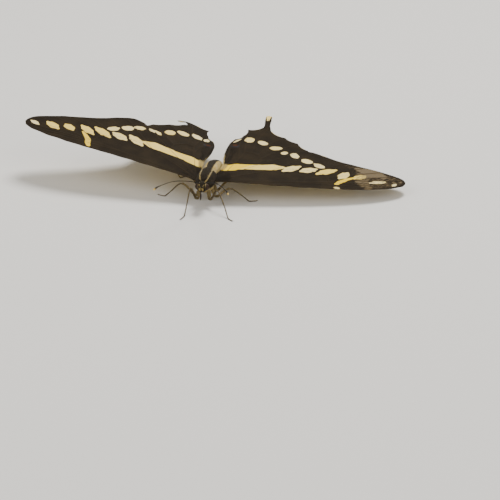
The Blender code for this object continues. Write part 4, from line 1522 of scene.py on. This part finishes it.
@dataclass
class Palp:
    """An upturned palp thick with pale scales."""

    side: Side
    finish: bpy.types.Material
    line: Line = ((0.4, -8.6, 7.9), (0.46, -9.15, 8.05), (0.48, -9.55, 8.4), (0.46, -9.75, 8.95),
                  (0.42, -9.8, 9.5))
    coat: Coat = Coat(1900, 0.28, 0.6, 0.04, 12.0, 211)
    steps: int = 60
    coated: int = 56
    sides: int = 20

    def build(self) -> None:
        """Make the palp as a tapering tube with tufts that point along it."""
        run = np.linspace(0, 1, self.steps)
        path = evenly(spline(self.line, 12), run)
        radii = np.interp(run, [0, 0.15, 0.45, 0.7, 0.76, 0.95, 1], [0.14, 0.22, 0.22, 0.16, 0.1, 0.09, 0.03])
        core = tube(path, radii, self.sides, OUTWARD)
        core.values["light"] = soft_step(-core.values["run"], -0.75, -0.45)
        hair = self.coat.on_shaft(path[:self.coated], radii[:self.coated], OUTWARD)
        low = soft_step(path[:, 2].max() - hair.points[::SPIKE_POINTS, 2], 0.0, 1.1)
        hair.add("light", low * 0.85 + 0.1)
        hair.values["light"] *= 1 - 0.5 * hair.values["tip"]
        name = f"palp_{self.side.word}"
        make_piece(f"{name}_core", core.on(self.side), self.finish, [name])
        make_piece(f"{name}_hair", hair.on(self.side), self.finish)


@dataclass
class Proboscis:
    """The tongue, coiled like a watch spring below the palps."""

    finish: bpy.types.Material
    centre: tuple[float, float] = (-10.3, 6.25)
    outer: float = 1.35
    turns: float = 2.6
    shrink: float = 0.78
    steps: int = 240
    sides: int = 14
    ribs: int = 90
    rib_depth: float = 0.05

    def build(self) -> None:
        """Make the coil: its radius shrinks with the angle, outer x (1 - shrink x share)."""
        share = np.linspace(0, 1, self.steps)
        angle = math.pi / 2 + FULL_TURN * self.turns * share
        radius = self.outer * (1 - self.shrink * share)
        y, z = self.centre
        coil = np.stack([0 * share, y + radius * np.cos(angle), z + radius * np.sin(angle)], axis=1)
        lead = spline([(0, -8.7, 7.75), (0, -9.4, 7.66), tuple(coil[0])], 12)[:-1]
        path = np.vstack([lead, coil])
        run = np.linspace(0, 1, len(path))
        radii = np.interp(run, [0, 0.1, 0.9, 1], [0.15, 0.125, 0.08, 0.03])
        radii = radii * (1 - self.rib_depth * np.abs(np.sin(run * self.ribs * math.pi)))
        form = tube(path, radii, self.sides, OUTWARD)
        form.fill("light", 0.3)
        make_piece("proboscis_coiled", form, self.finish, ["proboscis"])


@dataclass(frozen=True)
class Segment:
    """One hard piece of a leg: its stretch of the leg's line, radii along it, sides and lightness."""

    start: int
    end: int
    radii: Sequence[float]
    sides: int
    light: float


@dataclass(frozen=True)
class LegHair:
    """Tufts on a leg: their coat, stretch, radii at its ends, band of the bake's map and lightness."""

    coat: Coat
    stretch: slice | None
    radii: tuple[float, float]
    band: tuple[float, float]
    light: float
    floor: float = 0.0


LEG_ROOT = Segment(0, 31, (0.5, 0.56, 0.5, 0.36, 0.1), 20, 0.35)
LEG_SEGMENTS = (
    Segment(0, 58, (0.1, 0.3, 0.34, 0.3, 0.22), 18, 0.4),
    Segment(50, 82, (0.2, 0.33, 0.37, 0.36, 0.31, 0.24, 0.1), 18, 0.45),
    Segment(79, 102, (0.1, 0.23, 0.24, 0.22, 0.2, 0.22, 0.1), 16, 0.25),
    Segment(100, 122, (0.08, 0.17, 0.18, 0.17, 0.19, 0.08), 14, 0.3),
    *(Segment(first, min(first + 7, 141), (0.08, 0.15, 0.17, 0.19, 0.08), 14, 0.3)
      for first in range(120, 140, 5)),
)
LEG_HAIR = (
    LegHair(Coat(1500, 0.3, 0.6, 0.06, 22.0, 301), slice(6, 80), (0.3, 0.3), (0.0, 0.4), 0.5),
    LegHair(Coat(500, 0.14, 0.26, 0.06, 9.0, 307), slice(82, 120), (0.22, 0.16), (0.41, 0.6), 0.35),
    LegHair(Coat(500, 0.5, 0.9, 0.08, 22.0, 303), None, (0.46, 0.46), (0.61, 0.85), 0.7),
    LegHair(Coat(110, 0.22, 0.42, 0.06, 34.0, 305), slice(84, 139), (0.15, 0.15), (0.86, 0.99), 0.1, 0.01),
)


@dataclass
class Leg:
    """A jointed leg from its coxa to its claws."""

    name: str
    side: Side
    finish: bpy.types.Material
    coxa: Place
    hip: Place
    knee: Place
    ankle: Place
    heel: Place
    toe: Place
    socket: float = 0.3
    lowest: float = 0.17

    def __post_init__(self) -> None:
        """Note the way square to the leg's bend, from which its rings are turned."""
        hip, knee, toe = (np.asarray(p, float) for p in (self.hip, self.knee, self.toe))
        self.reference = tuple(unit(np.cross(knee - hip, toe - knee)))

    def shaft(self, line: Array, part: Segment) -> Form:
        """One hard piece of the leg along its stretch of a line, its upper side painted paler and its under
        side painted darker, as light from above would fall.
        """
        path = line[part.start:part.end]
        form = tube(path, profile(len(path), part.radii), part.sides, self.reference)
        # painted highlight and shade: the side facing up, outside the leg's bend, is made paler and the side
        # facing down darker
        over = np.cos(form.values["round"] * FULL_TURN)
        form.values["light"] = np.clip(part.light + 0.25 * over, 0, 1)
        return form

    def build(self) -> None:
        """Make the leg's pieces along one smooth line and join them."""
        coxa, hip, knee = (np.asarray(p, float) for p in (self.coxa, self.hip, self.knee))
        onward = unit(hip - coxa)
        start = hip + onward * self.socket
        upward = unit(knee - start)
        bend = [start + onward * first + upward * second
                for first, second in ((0.55, 0.0), (1.0, 0.7), (0.9, 1.5))]
        line = spline([start, *bend, knee, self.ankle, self.heel, self.toe], 20)
        line[:, 2] = np.maximum(line[:, 2], self.lowest)
        root = spline([coxa + (0, 0, 1.0), coxa, hip, start + onward * 0.2], 10)
        parts = [self.shaft(root, LEG_ROOT), *(self.shaft(line, part) for part in LEG_SEGMENTS)]
        hairs = []
        for kind in LEG_HAIR:
            path = line[kind.stretch] if kind.stretch else spline([coxa, hip], 20)
            form = kind.coat.on_shaft(path, np.linspace(*kind.radii, len(path)), self.reference, kind.band)
            form.fill("light", kind.light)
            form.raise_to(kind.floor)
            hairs.append(form)
        core, hair = joined([*parts, *self.claws(line)]), joined(hairs)
        core.raise_to(0.0)
        name = f"leg_{self.name}_{self.side.word}"
        make_piece(f"{name}_jointed", core.on(self.side), self.finish, [name])
        make_piece(f"{name}_hair", hair.on(self.side), self.finish)

    def claws(self, line: Array) -> list[Form]:
        """Two small hooks at the end of the foot, each an arc that comes down to the floor."""
        ahead = unit(line[-1] - line[-6])
        across = unit(np.cross(ahead, UPWARD))
        share = np.linspace(0, 1, 12)[:, None]
        made = []
        for way in (1, -1):
            path = (line[-1] - ahead * 0.08 + (ahead + across * 0.55 * way) * 0.5 * share
                    + np.array(UPWARD) * (0.16 * np.sin(share * math.pi) - 0.12 * share))
            form = tube(path, np.interp(share[:, 0], [0, 0.7, 1], [0.07, 0.05, 0.01]), 8, UPWARD)
            form.fill("light", 0.0)
            made.append(form)
        return made


LEG_POINTS = {
    "fore": {
        "root": ((1.5, -3.4, 5.4), (1.8, -4.3, 3.9)),
        Side.LEFT: ((5.0, -6.2, 6.9), (7.9, -10.2, 3.2), (9.7, -13.2, 0.2), (11.3, -14.9, 0.2)),
        Side.RIGHT: ((4.2, -6.4, 6.9), (4.7, -10.6, 3.2), (5.1, -13.6, 0.2), (5.8, -16.2, 0.2)),
    },
    "mid": {
        "root": ((2.0, 0.2, 4.6), (2.7, 0.2, 3.0)),
        Side.LEFT: ((8.2, -0.4, 5.4), (12.2, 0.6, 2.6), (14.6, 1.8, 0.2), (16.9, 2.6, 0.2)),
        Side.RIGHT: ((8.2, -0.4, 6.2), (12.2, 0.6, 2.6), (14.6, 1.8, 0.2), (16.9, 2.6, 0.2)),
    },
    "hind": {
        "root": ((1.9, 3.6, 5.0), (2.4, 4.3, 3.2)),
        Side.LEFT: ((6.6, 8.8, 4.6), (10.2, 14.2, 2.2), (12.2, 18.2, 0.2), (13.4, 20.8, 0.2)),
        Side.RIGHT: ((6.6, 8.8, 4.9), (10.2, 14.2, 2.2), (12.2, 18.2, 0.2), (13.4, 20.8, 0.2)),
    },
}


# Stage


LIGHTS = {
    "key": ((0.12, 0.30, 0.80), 0.35, 8.5),
    "fill": ((0.45, -0.5, 0.45), 0.6, 2.0),
    "side": ((-0.5, -0.35, 0.5), 0.6, 2.0),
}


@dataclass
class Studio:
    """Pale floor, soft lights and the camera at the photograph's angle."""

    azimuth: float = 9.9
    elevation: float = 24.0
    distance: float = 0.85
    focal_pixels: float = 2520.0
    image_pixels: float = 500.0
    origin_pixel: tuple[float, float] = (206.5, 200.9)
    floor_half: float = 1.5
    floor_height: float = -2e-5
    sensor_mm: float = 36.0
    world_colour: Colour = (1.0, 0.97, 0.92)
    world_strength: float = 0.45

    def build_floor(self) -> None:
        """A wide square just under the feet."""
        mesh = bpy.data.meshes.new("floor")
        corners = [(x * self.floor_half, y * self.floor_half, self.floor_height)
                   for x, y in ((-1, -1), (1, -1), (1, 1), (-1, 1))]
        mesh.from_pydata(corners, [], [(0, 1, 2, 3)])
        mesh.materials.append(FloorFinish().material())
        new_object("floor", mesh)

    def build_light(self, name: str, place: Place, size: float, watts: float) -> None:
        """An area light that faces the butterfly."""
        lamp = bpy.data.lights.new(name, "AREA")
        lamp.shape = "DISK"
        lamp.size = size
        lamp.energy = watts
        light = new_object(name, lamp)
        light.location = place
        light.rotation_mode = "QUATERNION"
        light.rotation_quaternion = (-light.location).to_track_quat("-Z", "Y")

    def build_world(self) -> None:
        """Even pale light from all round."""
        world = bpy.data.worlds.new("studio")
        world.use_nodes = True
        background = world.node_tree.nodes["Background"]
        background.inputs["Color"].default_value = (*self.world_colour, 1.0)
        background.inputs["Strength"].default_value = self.world_strength
        bpy.context.scene.world = world

    def build_camera(self) -> None:
        """Turn the camera until the body's foot point falls on its pixel of the photograph."""
        a, e = math.radians(self.azimuth), math.radians(self.elevation)
        back = np.array([math.sin(a) * math.cos(e), -math.cos(a) * math.cos(e), math.sin(e)])
        right = np.array([math.cos(a), math.sin(a), 0.0])
        place = np.array([0.0, SHIFT_Y * MM, 0.0]) + back * self.distance
        beside, below = ((self.image_pixels / 2 - pixel) / self.focal_pixels for pixel in self.origin_pixel)
        back = unit(back - right * beside + np.cross(back, right) * below)
        right = unit(np.cross(UPWARD, back))
        up = np.cross(back, right)
        lens = bpy.data.cameras.new("camera")
        lens.sensor_width = self.sensor_mm
        lens.lens = self.focal_pixels / self.image_pixels * lens.sensor_width
        lens.clip_start, lens.clip_end = 0.01, 10.0
        camera = new_object("camera", lens)
        rows = np.vstack([np.column_stack([right, up, back, place]), (0.0, 0.0, 0.0, 1.0)])
        camera.matrix_world = Matrix(rows.tolist())
        bpy.context.scene.camera = camera

    def build(self) -> None:
        """Set the stage."""
        self.build_floor()
        self.build_world()
        for name, (place, size, watts) in LIGHTS.items():
            self.build_light(name, place, size, watts)
        self.build_camera()


def main() -> None:
    """Build the butterfly and its stage."""
    logging.basicConfig(level=logging.INFO, format="%(message)s")
    wing_finish = WingFinish().material()
    hair = HornFinish("root_hair", (0.024, 0.017, 0.009), (0.66, 0.50, 0.19), 9000.0, 0.6).material()
    leg = HornFinish("leg_horn", (0.035, 0.024, 0.014), (0.36, 0.27, 0.12)).material()
    feeler = HornFinish("feeler_horn", (0.012, 0.009, 0.006), (0.55, 0.37, 0.09), 7000.0, 0.5).material()
    palp = HornFinish("palp_scales", (0.05, 0.036, 0.02), (0.66, 0.49, 0.17), 9000.0, 0.6).material()
    tongue = HornFinish("tongue_horn", (0.03, 0.018, 0.011), (0.12, 0.07, 0.03)).material()
    eye = EyeFinish().material()
    for plan in (ForewingPlan, HindwingPlan):
        for side in Side:
            Wing(plan(side), wing_finish, hair).build()
    Body(BodyFinish("body_skin", False).material(), BodyFinish("body_hair", True).material()).build()
    for side in Side:
        Eye(side, eye).build()
        Antenna(side, feeler).build()
        Palp(side, palp).build()
        for name, points in LEG_POINTS.items():
            Leg(name, side, leg, *points["root"], *points[side]).build()
    Proboscis(tongue).build()
    Studio().build()


if __name__ == "__main__":
    main()
